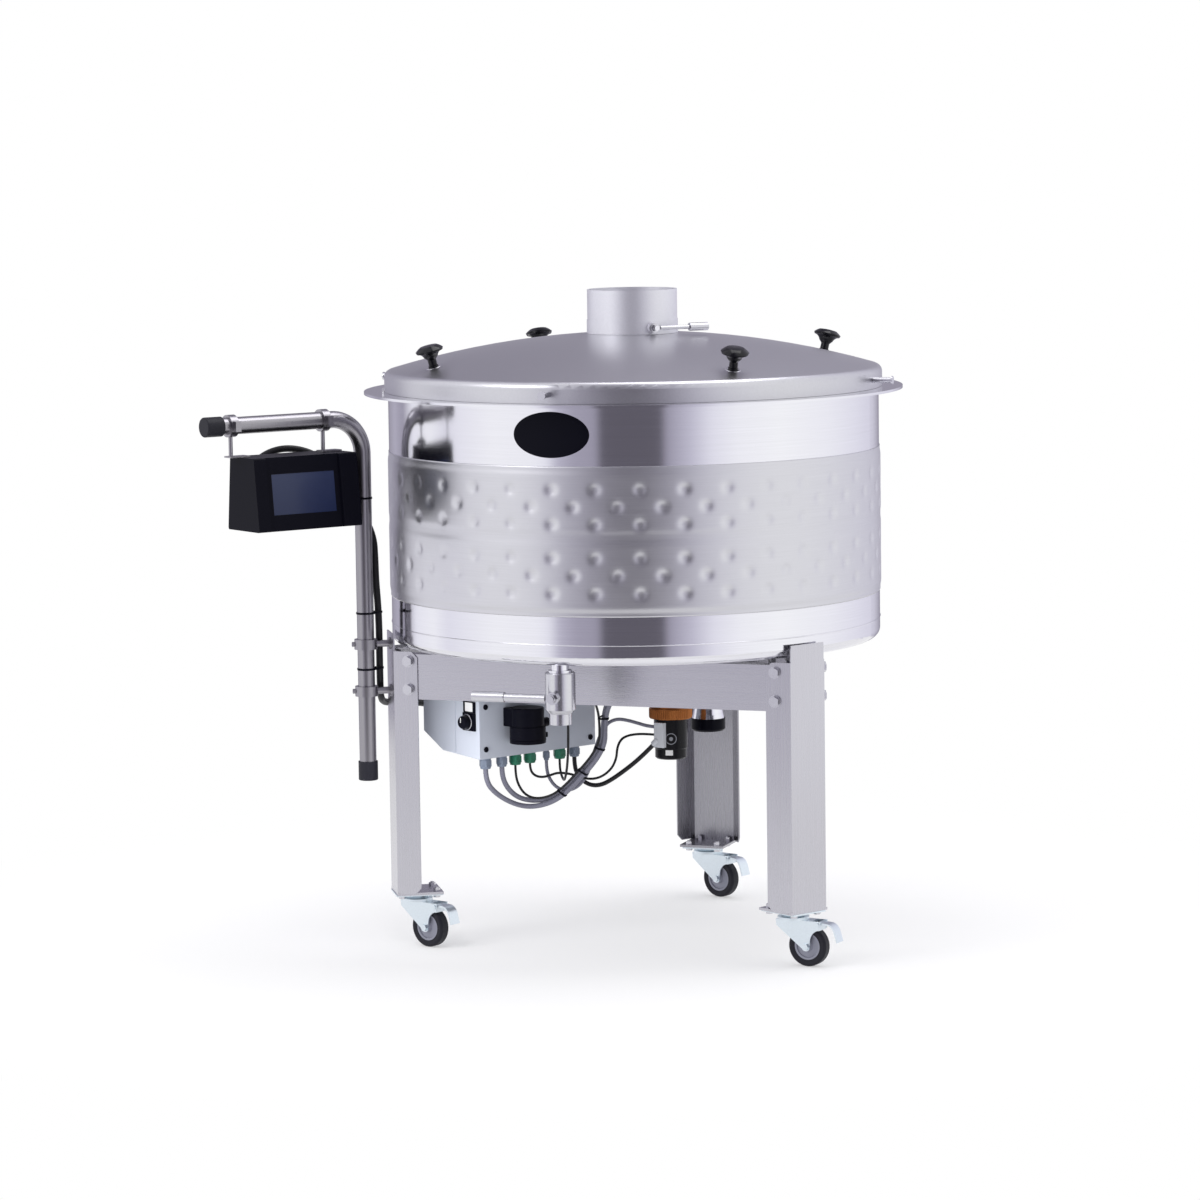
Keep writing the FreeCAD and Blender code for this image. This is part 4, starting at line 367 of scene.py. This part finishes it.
def slab(name, centre, x_axis, y_axis, size, material, body):
    """A thin rectangular plate with slightly bevelled edges: size is (x, y, thickness)."""
    x_axis, y_axis = Vector(x_axis).normalized(), Vector(y_axis).normalized()
    out = x_axis.cross(y_axis)
    centre = Vector(centre)
    bevel = min(size) * 0.3
    points = []
    for inset, level in ((0, 0), (0, size[2] - bevel), (bevel, size[2])):
        for sx, sy in ((-1, -1), (1, -1), (1, 1), (-1, 1)):
            points.append(centre + x_axis * sx * (size[0] / 2 - inset)
                          + y_axis * sy * (size[1] / 2 - inset) + out * level)
    faces = [(3, 2, 1, 0), (8, 9, 10, 11)]
    for low in (0, 4):
        for i in range(4):
            j = (i + 1) % 4
            faces.append((low + i, low + j, low + 4 + j, low + 4 + i))
    piece(name, points, faces, material, body, smooth=False)


# Cooling jacket: pillow plate, swollen between its weld seams and pulled in at each spot weld
WALL_RADIUS, EDGE_LIFT, LEAST_SWELL = 0.490, 0.0002, 0.0003
JACKET_LOW, JACKET_MIDDLE, JACKET_HIGH = 0.702, 0.854, 0.990
SWOLLEN_RADIUS = 0.4927
# Each seam has its height and the depth of its dip, and each row of spots its height
SEAMS = ((JACKET_LOW + 0.002, 0.0016), (JACKET_MIDDLE, 0.0009), (JACKET_HIGH - 0.002, 0.0016))
SEAM_FLAT, SEAM_FADE = 0.003, 0.014
SPOTS_ROUND, SPOT_ROWS = 36, (0.9450, 0.9120, 0.8787, 0.8143, 0.7807, 0.7459)
STAGGERED_ROWS = (1, 4)
FIRST_SPOT, SPOT_PITCH = radians(-80.0), 2 * pi / SPOTS_ROUND
SPOT_DEPTH, SPOT_SPREAD, SPOT_REACH = 0.0030, 0.0098, 0.035
CREST_HEIGHT, CREST_SPREAD = 0.0009, 0.0046
COLUMNS_PER_SPOT, ROW_STEP = 26, 0.0028


def jacket_radius(angle, z):
    """The jacket's radius at a place: dips at the seams and spots, with a small crest in each spot."""
    radius = SWOLLEN_RADIUS
    for seam, dip in SEAMS:
        share = min(max((abs(z - seam) - SEAM_FLAT) / SEAM_FADE, 0), 1)
        radius -= dip * (1 - share * share * (3 - 2 * share))
    for index, row in enumerate(SPOT_ROWS):
        rise = z - row
        if abs(rise) > SPOT_REACH:
            continue
        shift = 0.5 * SPOT_PITCH if index in STAGGERED_ROWS else 0
        turn = (angle - FIRST_SPOT - shift + SPOT_PITCH / 2) % SPOT_PITCH - SPOT_PITCH / 2
        distance = hypot(turn * WALL_RADIUS, rise)
        radius -= SPOT_DEPTH * exp(-((distance / SPOT_SPREAD) ** 2))
        radius += CREST_HEIGHT * exp(-((distance / CREST_SPREAD) ** 2))
    return max(radius, WALL_RADIUS + LEAST_SWELL)


def cooling_jacket():
    columns = SPOTS_ROUND * COLUMNS_PER_SPOT
    count = ceil((JACKET_HIGH - JACKET_LOW) / ROW_STEP)
    heights = [JACKET_LOW + (JACKET_HIGH - JACKET_LOW) * k / count for k in range(count + 1)]
    levels = [heights[0], *heights, heights[-1]]
    edge = WALL_RADIUS + EDGE_LIFT
    points = []
    for k in range(columns):
        angle = 2 * pi * k / columns
        radii = [edge, *(jacket_radius(angle, z) for z in heights), edge]
        points += [(cos(angle) * r, sin(angle) * r, z) for r, z in zip(radii, levels)]
    skin = piece("jacket_skin", points, section_faces(columns, len(levels)), "jacket", "frame")
    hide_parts("cooling_jacket")


def water_nipples():
    """The jacket's two hose nipples at the rear, each with its foot and a bevelled end."""
    out, base = level_vector(104), WALL_RADIUS + 0.001
    bore, radius, foot, tip, length = 0.008, 0.0105, 0.0155, 0.0098, 0.0335
    profile = [(bore, 0), (foot, 0), (foot, 0.003), (radius, 0.005), (radius, 0.0315), (tip, length),
               (bore, length)]
    for name, height in (("lower_water_nipple", 0.732), ("upper_water_nipple", 0.960)):
        start = out * base + Vector((0, 0, height))
        nipple = lathe(name, profile, start, out, "valve_steel", "frame", 36)
        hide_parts("cooling_jacket")


cooling_jacket()
water_nipples()

# Weld seams round the kettle's bottom and the flue's collar
BOTTOM_SEAM, BOTTOM_RADIUS, BOTTOM_BEAD = (0, 0, 0.6475), WALL_RADIUS + 0.0001, 0.0011
COLLAR_SEAM, COLLAR_RADIUS, COLLAR_BEAD = (0, 0, 1.2155), 0.0915, 0.0016
ring("kettle_weld", BOTTOM_RADIUS, BOTTOM_BEAD, BOTTOM_SEAM, UPRIGHT, "stainless", "frame", 180)
ring("flue_weld", COLLAR_RADIUS, COLLAR_BEAD, COLLAR_SEAM, UPRIGHT, "bolt_steel", "hood")


def oval_plate():
    """A blank oval plate, bent to the kettle's wall, with its edge pressed down."""
    half_angle, half_height, middle, facing = 0.156, 0.044, 1.050, radians(-90)
    lift, edge_lift = 0.0016, 0.0007
    loops, around = 12, 64
    points = [(0, -(WALL_RADIUS + lift), middle)]
    for k in range(1, loops + 1):
        share = k / loops
        radius = WALL_RADIUS + (lift if k < loops else edge_lift)
        for i in range(around):
            a = 2 * pi * i / around
            angle = facing + half_angle * share * cos(a)
            height = middle + half_height * share * sin(a)
            points.append((radius * cos(angle), radius * sin(angle), height))
    faces = [(0, 1 + i, 1 + (i + 1) % around) for i in range(around)]
    faces += loop_faces(loops, around, first=1)
    piece("oval_plate", points, faces, "black_plastic", "frame")


oval_plate()

# Cables: smooth curves whose control points are the routes that the CAD follows, in millimetres
GLAND_TIP, GLAND_INSET = 361.2, 20
HOUSING_CORNER = Vector((-242, -259, 0))
LONG_SIDE, INWARD = level_vector(60), level_vector(150)
KETTLE_BOTTOM, COIL_RADIUS, TERMINAL_DROP = 607, 425, 14.2
TERMINAL_TIP = KETTLE_BOTTOM - TERMINAL_DROP
# Each point of the bend is so far back along the cable's heading and so far below the tip
TERMINAL_BEND = ((24.6, 42.6), (9, 33.6), (0, 18), (0, 0))


def from_gland(along, run_end):
    """The first run of a cable, straight down from its gland to a height."""
    spot = HOUSING_CORNER + LONG_SIDE * along + INWARD * GLAND_INSET
    return [(spot.x, spot.y, GLAND_TIP), (spot.x, spot.y, run_end)]


def to_terminal(azimuth, heading):
    """The last points of a cable that comes along a heading and turns up into its terminal."""
    x, y = COIL_RADIUS * cos(radians(azimuth)), COIL_RADIUS * sin(radians(azimuth))
    along_x, along_y = cos(radians(heading)), sin(radians(heading))
    return [(x - back * along_x, y - back * along_y, TERMINAL_TIP - drop)
            for back, drop in TERMINAL_BEND]


FIRST_HEATER = [
    *from_gland(30, 335), (-231, -200, 307), (-210, -163, 283), (-188, -132, 272),
    (-156, -126, 277), (-125, -131, 291), (-98, -134, 313), (-76, -136, 336), (-54, -139, 358),
    (-34, -141, 383), (-20, -142, 411), (-20, -143, 441), (-14, -146, 478), (8, -151, 514),
    (45, -158, 540), (95, -166, 549), (150, -174, 551), (205, -182, 552), (258, -192, 551),
    (302, -204, 550.5), *to_terminal(-33, -26.6),
]
SECOND_HEATER = [
    *from_gland(72, 341), (-216, -174, 314), (-203, -150, 293), (-184, -125, 284),
    (-158, -118, 286), (-130, -122, 297), (-103, -125, 319), (-81, -127, 342), (-59, -130, 364),
    (-39, -132, 389), (-27, -133.5, 417), (-26, -134, 447), (-19, -137.5, 484), (3, -142.5, 520),
    (41, -149, 546), (92, -157, 555), (147, -165.5, 557), (202, -173.5, 558), (253, -180, 557),
    (288, -184.5, 555), (322, -188.5, 551.5), *to_terminal(-27, -4),
]
EARTH_LEAD = [
    *from_gland(107, 340), (-201, -152, 318), (-190, -147, 300), (-172, -144, 292),
    (-150, -141, 294), (-126, -142, 304), (-102, -145, 324), (-80, -147, 347), (-58, -150, 369),
    (-40, -152, 392), (-28, -153, 416), (-27, -154, 441), (-27, -158, 470), (-30, -175, 500),
    (-34, -205, 522), (-36, -236, 534), (-36.5, -261, 538), (-36, -282.8, 538),
]
PUMP_SUPPLY = [
    *from_gland(262, 337), (-118, -22, 319), (-104, -22, 307), (-86, -22, 302.5),
    (-67, -22, 306.5), (-49.5, -21.7, 316.5), (-32.5, -21.3, 328), (-17, -20.9, 339.5),
    (-1, -20.6, 352), (14, -20.8, 365.2), (28.4, -22.04, 378.3), (42.55, -25.83, 391.95),
]
PUMP_SIGNAL = [
    *from_gland(188, 342), (-159, -85, 322), (-146, -83, 306), (-126, -80, 299),
    (-105, -77, 306), (-89, -74, 323), (-78, -71, 346), (-72, -68.5, 371), (-64, -65, 396),
    (-56, -60, 419), (-45, -52, 437), (-28, -42, 444), (-9, -33, 440), (10, -26, 434),
    (29.6, -22.4, 428), (47.0, -27.06, 428),
]
PUMP_SENSOR = [
    *from_gland(145, 346), (-178, -120, 334), (-163, -117, 331), (-148, -113, 335),
    (-132, -109, 341), (-105, -104, 338), (-76, -96, 327), (-50, -90, 330), (-28, -84, 347),
    (-18, -80, 369), (-17, -78, 391), (-13, -66, 406), (-6, -48, 411), (5, -30, 412),
    (24, -20.9, 412), (47.0, -27.06, 412),
]
PROBE_LEAD = [
    *from_gland(223, 344), (-140, -70, 331), (-128, -92, 325), (-116, -117, 327),
    (-104, -142, 341), (-93, -164, 362), (-85, -181, 388), (-80.5, -190, 420), (-79.2, -193, 462),
    (-77.6, -193.8, 510), (-76.6, -193.2, 558), (-76, -192, 594.8),
]
# The display's cable is laid out along the arm in its upper part and beside the left leg below
ARM_AXIS = level_vector(-150, 548.6)
ALONG_ARM, ARM_FRONT = level_vector(-125), level_vector(-35)
LEG_OUT, LEG_SIDE = level_vector(-150), level_vector(-60)
ON_ARM = [
    (215, -36.3, 940), (215, -62, 940), (210, -86, 952), (192, -100, 976), (160, -94, 998),
    (125, -76, 1006), (86, -55, 996), (52, -42, 970), (24, -34, 936), (2, -29, 900),
    (-17, -22, 862), (-26.5, -5, 822), (-25.2, 0.5, 780), (-26.4, 0, 735), (-30.2, -0.3, 692),
]
BESIDE_LEG = [
    (519.6, -14.6, 650), (519.6, -14.5, 610), (519.6, -14.6, 563), (519, -18.1, 527), (516, -36, 499),
    (506, -68, 484), (483, -94, 479), (455.6, -98.5, 478), (429.6, -83.5, 478), (414.7, -57.7, 478),
]


def laid_out(route, start, forward, side):
    """A route whose points are given forward and sideways from a start, and by their height."""
    return [tuple(start + forward * a + side * b + Vector((0, 0, z))) for a, b, z in route]


DISPLAY_CABLE = laid_out(ON_ARM, ARM_AXIS, ALONG_ARM, ARM_FRONT)
DISPLAY_CABLE += laid_out(BESIDE_LEG, Vector((0, 0, 0)), LEG_OUT, LEG_SIDE)


def cable(name, route, radius, material, *replaced):
    """A smooth round cable along its route."""
    data = bpy.data.curves.new(name, "CURVE")
    data.dimensions = "3D"
    spline = data.splines.new("NURBS")
    spline.points.add(len(route) - 1)
    for point, spot in zip(spline.points, route):
        point.co = (*[c * MM for c in spot], 1)
    spline.order_u = 3
    spline.use_endpoint_u = True
    spline.resolution_u = 6
    data.bevel_depth = radius
    data.bevel_resolution = 3
    data.use_fill_caps = True
    curve = bpy.data.objects.new(name + "_curve", data)
    bpy.context.scene.collection.objects.link(curve)
    bpy.context.view_layer.update()
    mesh = bpy.data.meshes.new_from_object(curve.evaluated_get(bpy.context.evaluated_depsgraph_get()))
    bpy.data.objects.remove(curve)
    mesh.materials.clear()
    mesh.materials.append(MATERIALS[material])
    item = bpy.data.objects.new(name, mesh)
    bpy.context.scene.collection.objects.link(item)
    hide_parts(*replaced)
    return item


LEADS = (
    ("first_heater_lead", FIRST_HEATER, 0.0052, "grey_cable", "grey_cables"),
    ("second_heater_lead", SECOND_HEATER, 0.0052, "grey_cable", "grey_cables"),
    ("earth_wire", EARTH_LEAD, 0.0025, "black_cable", "black_cables"),
    ("pump_supply_lead", PUMP_SUPPLY, 0.0045, "black_cable", "black_cables"),
    ("pump_signal_lead", PUMP_SIGNAL, 0.0035, "grey_cable", "grey_cables"),
    ("pump_sensor_wire", PUMP_SENSOR, 0.0025, "black_cable", "black_cables"),
    ("probe_wire", PROBE_LEAD, 0.0025, "black_cable", "black_cables"),
)
for name, route, radius, material, node in LEADS:
    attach(cable(name, route, radius, material, node), "frame")

# The display's lead, along the arm and down beside the left leg; it is attached to no body
display_lead = cable("display_lead", DISPLAY_CABLE, 0.007, "black_cable", "display_cable_upper",
                     "black_cables")
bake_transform(display_lead)

# Cable ties: on the arm's tube, and round the bundle of three leads in the middles of its runs
TUBE_RADIUS, HELD_DISPLAY, HELD_HEATER, HELD_EARTH = 0.01685, 0.0073, 0.0054, 0.0027
TIE_GAP = 0.0003
# Each tie on the tube has its height, its body and the display lead's place beside the tube
TUBE_TIES = ((902.6, "control_arm", (3.9, -29.1)), (673, "control_arm", (-31.3, -0.6)),
             (561, "frame", (-32.4, -1)))
BUNDLE = ((FIRST_HEATER, HELD_HEATER), (SECOND_HEATER, HELD_HEATER), (EARTH_LEAD, HELD_EARTH))
BUNDLE_RUNS = (6, 8, 10, 12)


def run_of(route, index):
    """The middle and the direction of the run after a point of a route, in metres."""
    first, second = Vector(route[index]) * MM, Vector(route[index + 1]) * MM
    return (first + second) / 2, second - first


def cable_ties():
    for number, (height, body, (along, front)) in enumerate(TUBE_TIES, start=1):
        tube = ARM_AXIS + Vector((0, 0, height))
        lead = ARM_AXIS + ALONG_ARM * along + ARM_FRONT * front + Vector((0, 0, height))
        rounds = [(tube * MM, TUBE_RADIUS + TIE_GAP), (lead * MM, HELD_DISPLAY)]
        tie(f"tube_tie_{number}", rounds, UPRIGHT, body)
    for number, index in enumerate(BUNDLE_RUNS, start=1):
        rounds = [(run_of(route, index)[0], radius) for route, radius in BUNDLE]
        tie(f"bundle_tie_{number}", rounds, run_of(FIRST_HEATER, index)[1], "frame")


cable_ties()

# Fittings of the electronics housing: screws and latch in front, the main switch's marks at the left
FRONT_OUT, LEFT_OUT = -INWARD, -LONG_SIDE
HOUSING_SCREWS = ((15.6, 403), (288, 400), (15.6, 488), (288, 488))
SCREW_RADIUS, SCREW_HEIGHT = 0.0055, 0.0025
LATCH_PLACE, LATCH_RADIUS, LATCH_LENGTH = (125.2, 450, 38), 0.009, 0.0205
SWITCH = HOUSING_CORNER + INWARD * 29 + Vector((0, 0, 458))
PRINT_THICKNESS = 0.0006
LABEL_SIZE, POINTER_SIZE = (0.023, 0.018, PRINT_THICKNESS), (0.0016, 0.010, PRINT_THICKNESS)
BEZEL_RADIUS, BEZEL_BEAD = 0.0148, 0.0011


def on_front(along, height, out=0.0):
    """A place on the housing's front, in metres."""
    return (HOUSING_CORNER + LONG_SIDE * along + FRONT_OUT * out + Vector((0, 0, height))) * MM


def by_switch(out, above=0.0):
    """A place out from the housing's left face, on or above the main switch's axis, in metres."""
    return (SWITCH + LEFT_OUT * out + Vector((0, 0, above))) * MM


def housing_fittings():
    for number, (along, height) in enumerate(HOUSING_SCREWS, start=1):
        screw(f"housing_screw_{number}", on_front(along, height), FRONT_OUT, SCREW_RADIUS,
              SCREW_HEIGHT, "black_plastic", "frame")
    latch = [(LATCH_RADIUS, 0), (LATCH_RADIUS, 0.018), (0.0078, LATCH_LENGTH), (0, LATCH_LENGTH)]
    lathe("inlet_latch", latch, on_front(*LATCH_PLACE), LONG_SIDE, "black_plastic", "frame", 32,
          closed=False)
    slab("switch_label", by_switch(3.0, 29.3), FRONT_OUT, UPRIGHT, LABEL_SIZE, "white_print", "frame")
    slab("switch_pointer", by_switch(24.7, 5), FRONT_OUT, UPRIGHT, POINTER_SIZE, "white_print",
         "main_switch")
    ring("switch_bezel", BEZEL_RADIUS, BEZEL_BEAD, by_switch(9.2), LEFT_OUT, "bolt_steel", "frame", 48)


housing_fittings()

# Pump: a knurled union ring, and blank marks on the motor
PUMP = Vector((0.068, 0.008, 0))
PRINT_LIFT = 0.0003
# Each mark has the motor's radius there, its azimuth and height, and its half width and half height
MOTOR_PLATE = (0.032, -78, 0.3755, 0.0074, 0.0052)
MOTOR_RING, MOTOR_DOT = (0.034, -71, 0.4040, 0.0115, 0.0115), (0.034, -71, 0.4040, 0.0040, 0.0040)


def union_knurl():
    """A ring of fine upright ribs round the pump's union ring."""
    ribs, rib_depth, steps_per_rib = 60, 0.0009, 6
    low, high, bevel = 0.4440, 0.4630, 0.0012
    inner, base = 0.0426, 0.04265
    steps = steps_per_rib * ribs
    points = []
    for k in range(steps):
        a = 2 * pi * k / steps
        crest = base + rib_depth * max(0.0, cos(ribs * a))
        for r, z in ((inner, low), (crest, low + bevel), (crest, high - bevel), (inner, high)):
            points.append((PUMP.x + r * cos(a), PUMP.y + r * sin(a), z))
    piece("union_knurl", points, section_faces(steps, 4), "bronze", "frame", smooth=False)


def mark(name, radius, azimuth, z, half_width, half_height, material, hole=0.0, square=False):
    """A thin printed mark on the upright motor: a disc, a ring with a hole, or a rectangle."""
    around, shares = 40, (hole, (1 + hole) / 2, 1.0)
    reach = radius + PRINT_LIFT
    points = []
    for share in shares:
        for i in range(around):
            a = 2 * pi * i / around
            x, y = cos(a), sin(a)
            if square:
                edge = max(abs(x), abs(y))
                x, y = x / edge, y / edge
            turn = radians(azimuth) + half_width * share * x / radius
            height = z + half_height * share * y
            points.append((PUMP.x + reach * cos(turn), PUMP.y + reach * sin(turn), height))
    item = piece(name, points, loop_faces(len(shares), around), material, "frame")
    merge_ends(item)


union_knurl()
mark("motor_plate", *MOTOR_PLATE, "white_print", square=True)
mark("motor_ring", *MOTOR_RING, "grey_print", hole=0.86)
mark("motor_dot", *MOTOR_DOT, "grey_print")

# Hood: a washer under each knob, leaning with the dome
KNOB_AZIMUTHS = (-135, -45, 45, 135)
KNOB_REACH, DOME_RADIUS, WASHER_HEIGHT = 0.434, 1.741, 1.16245
WASHER = [(0.0101, 0.0), (0.015, 0.0), (0.015, 0.0022), (0.0138, 0.003), (0.0101, 0.003)]


def knob_washers():
    tilt = KNOB_REACH / DOME_RADIUS
    for number, azimuth in enumerate(KNOB_AZIMUTHS, start=1):
        axis = level_vector(azimuth, sin(tilt)) + Vector((0, 0, cos(tilt)))
        foot = level_vector(azimuth, KNOB_REACH) + Vector((0, 0, WASHER_HEIGHT))
        lathe(f"knob_washer_{number}", WASHER, foot, axis, "bolt_steel", "hood", 40)


knob_washers()

# Camera, fitted to the photograph: off the target along its view, shifted sideways and up, and rolled
DISTANCE, LENS, SENSOR, FAR_CLIP = 8.9403, 133.43, 36.0, 60
ELEVATION, AZIMUTH, ROLL = radians(6.461), radians(19.317), radians(-0.784)
TARGET, SHIFT_RIGHT, SHIFT_UP = Vector((0, 0, 0.7)), -0.07184, -0.01976


def photo_camera():
    data = bpy.data.cameras.new("camera")
    data.lens = LENS
    data.sensor_width = SENSOR
    data.clip_end = FAR_CLIP
    forward = Vector((-sin(AZIMUTH) * cos(ELEVATION), cos(AZIMUTH) * cos(ELEVATION), -sin(ELEVATION)))
    level_right = Vector((cos(AZIMUTH), sin(AZIMUTH), 0))
    level_up = level_right.cross(forward)
    right = level_right * cos(ROLL) + level_up * sin(ROLL)
    up = level_up * cos(ROLL) - level_right * sin(ROLL)
    spot = TARGET - forward * DISTANCE + right * SHIFT_RIGHT + up * SHIFT_UP
    turn = Matrix((right, up, -forward)).transposed().to_4x4()
    camera = bpy.data.objects.new("camera", data)
    camera.matrix_world = Matrix.Translation(spot) @ turn
    bpy.context.scene.collection.objects.link(camera)
    bpy.context.scene.camera = camera


photo_camera()

# Floor: pale, with the object's shadow near it, turning to plain white farther out
FLOOR_HALF, FLOOR_DROP, FLOOR_WHITE = 2.4, 0.0005, (0.98, 0.98, 0.98, 1)
FADE_START, FADE_END, LEAST_WHITE = 0.5, 1.7, 0.4


def floor():
    half = FLOOR_HALF
    mesh = bpy.data.meshes.new("floor")
    mesh.from_pydata([(-half, -half, 0), (half, -half, 0), (half, half, 0), (-half, half, 0)], [],
                     [(0, 1, 2, 3)])
    item = bpy.data.objects.new("floor", mesh)
    item.location = (0, 0, -FLOOR_DROP)
    bpy.context.scene.collection.objects.link(item)
    surface = Surface("floor")
    surface.tree.nodes.remove(surface.shader)
    place = surface.node("ShaderNodeTexCoord")
    length = surface.node("ShaderNodeVectorMath", operation="LENGTH")
    surface.link(place.outputs["Object"], length.inputs[0])
    fade = surface.node("ShaderNodeMapRange", interpolation_type="SMOOTHSTEP")
    fade.inputs["From Min"].default_value = FADE_START
    fade.inputs["From Max"].default_value = FADE_END
    fade.inputs["To Min"].default_value = LEAST_WHITE
    surface.link(length.outputs["Value"], fade.inputs["Value"])
    near = surface.node("ShaderNodeBsdfDiffuse")
    near.inputs["Color"].default_value = FLOOR_WHITE
    far = surface.node("ShaderNodeEmission")
    mix = surface.node("ShaderNodeMixShader")
    surface.link(fade.outputs["Result"], mix.inputs["Fac"])
    surface.link(near.outputs["BSDF"], mix.inputs[1])
    surface.link(far.outputs["Emission"], mix.inputs[2])
    surface.link(mix.outputs["Shader"], surface.tree.nodes["Material Output"].inputs["Surface"])
    mesh.materials.append(surface.material)


floor()

# World: white to the camera and through glass, and wide panels with gaps that the metal reflects
# Each stop is an azimuth in degrees and a brightness
PANELS = [(-180, 1.08), (-170, 0.95), (-158, 1.02), (-140, 1.12), (-128, 1.1), (-118, 1.08),
          (-112, 1.0), (-107, 0.6), (-99, 0.45), (-89, 0.42), (-86, 0.14), (-59, 0.14), (-56, 0.42),
          (-45, 0.66), (-35, 0.95), (-22, 1.1), (0, 1.16), (30, 1.08), (55, 0.94), (75, 0.8),
          (95, 0.36), (118, 0.3), (138, 0.5), (152, 0.4), (163, 1.0), (180, 1.1)]
# Rays that aren't mirrored see the panels with this share of a soft white mixed in
SOFT_SHARE, SOFT_WHITE, WHITE = 0.35, (1.08, 1.08, 1.09, 1), (1, 1, 1, 1)


def panel_colour(level):
    """A panel's colour from its brightness: near white when bright, violet when dark."""
    green = level * (0.925 + 0.07 * level)
    blue = level * (1.12 + 0.2 * level - 0.26 * level * level)
    return level, green, blue, 1


def panel_ring(studio):
    """The panels as a colour ramp over the azimuth of the view."""
    place = studio.node("ShaderNodeTexCoord")
    split = studio.node("ShaderNodeSeparateXYZ")
    studio.link(place.outputs["Generated"], split.inputs["Vector"])
    azimuth = studio.node("ShaderNodeMath", operation="ARCTAN2")
    studio.link(split.outputs["Y"], azimuth.inputs[0])
    studio.link(split.outputs["X"], azimuth.inputs[1])
    share = studio.node("ShaderNodeMapRange")
    share.inputs["From Min"].default_value = -pi
    share.inputs["From Max"].default_value = pi
    studio.link(azimuth.outputs["Value"], share.inputs["Value"])
    ramp = studio.node("ShaderNodeValToRGB")
    studio.link(share.outputs["Result"], ramp.inputs["Fac"])
    stops = ramp.color_ramp.elements
    while len(stops) < len(PANELS):
        stops.new(1.0)
    for stop, (degrees, level) in zip(stops, PANELS):
        stop.position = (degrees + 180) / 360
        stop.color = panel_colour(level)
    return ramp.outputs["Color"]


def studio_world():
    world = bpy.data.worlds.new("studio")
    studio = Nodes(world)

    def mixed(factor, first, second):
        """A mix of two colours; each argument is a value or another node's output."""
        mix = studio.node("ShaderNodeMix", data_type="RGBA")
        for name, source in (("Factor", factor), ("A", first), ("B", second)):
            if isinstance(source, bpy.types.NodeSocket):
                studio.link(source, mix.inputs[name])
            else:
                mix.inputs[name].default_value = source
        return mix.outputs["Result"]

    panels = panel_ring(studio)
    path = studio.node("ShaderNodeLightPath")
    colour = mixed(SOFT_SHARE, panels, SOFT_WHITE)
    colour = mixed(path.outputs["Is Glossy Ray"], colour, panels)
    colour = mixed(path.outputs["Is Transmission Ray"], colour, WHITE)
    colour = mixed(path.outputs["Is Camera Ray"], colour, WHITE)
    light = studio.tree.nodes["Background"]
    studio.link(colour, light.inputs["Color"])
    light.inputs["Strength"].default_value = 1.0
    bpy.context.scene.world = world


studio_world()

# Lamps: a soft key from the left, one overhead, and two low fills that the metal doesn't reflect
OBJECT_MIDDLE, HOUSING_LEFT = (0, 0, 0.8), (-0.36, -0.20, 0.43)


def lamp(name, place, size, power, mirrored=True, aim=OBJECT_MIDDLE):
    """A square lamp turned to a point, unseen by the camera, and seen in the metal if mirrored."""
    data = bpy.data.lights.new(name, "AREA")
    data.size = size
    data.energy = power
    item = bpy.data.objects.new(name, data)
    item.location = place
    item.visible_camera = False
    item.visible_glossy = mirrored
    item.rotation_euler = (Vector(aim) - Vector(place)).to_track_quat("-Z", "Y").to_euler()
    bpy.context.scene.collection.objects.link(item)


lamp("key", (-2.6, -3.4, 3.6), 1.8, 45)
lamp("overhead", (0.6, 0.4, 4.2), 2.4, 45)
lamp("low_left", (-0.95, -3.4, 0.45), 0.9, 10, mirrored=False)
lamp("housing_fill", (-0.32, -0.50, 0.37), 0.08, 0.6, mirrored=False, aim=HOUSING_LEFT)
bpy.context.scene.view_settings.view_transform = "Standard"
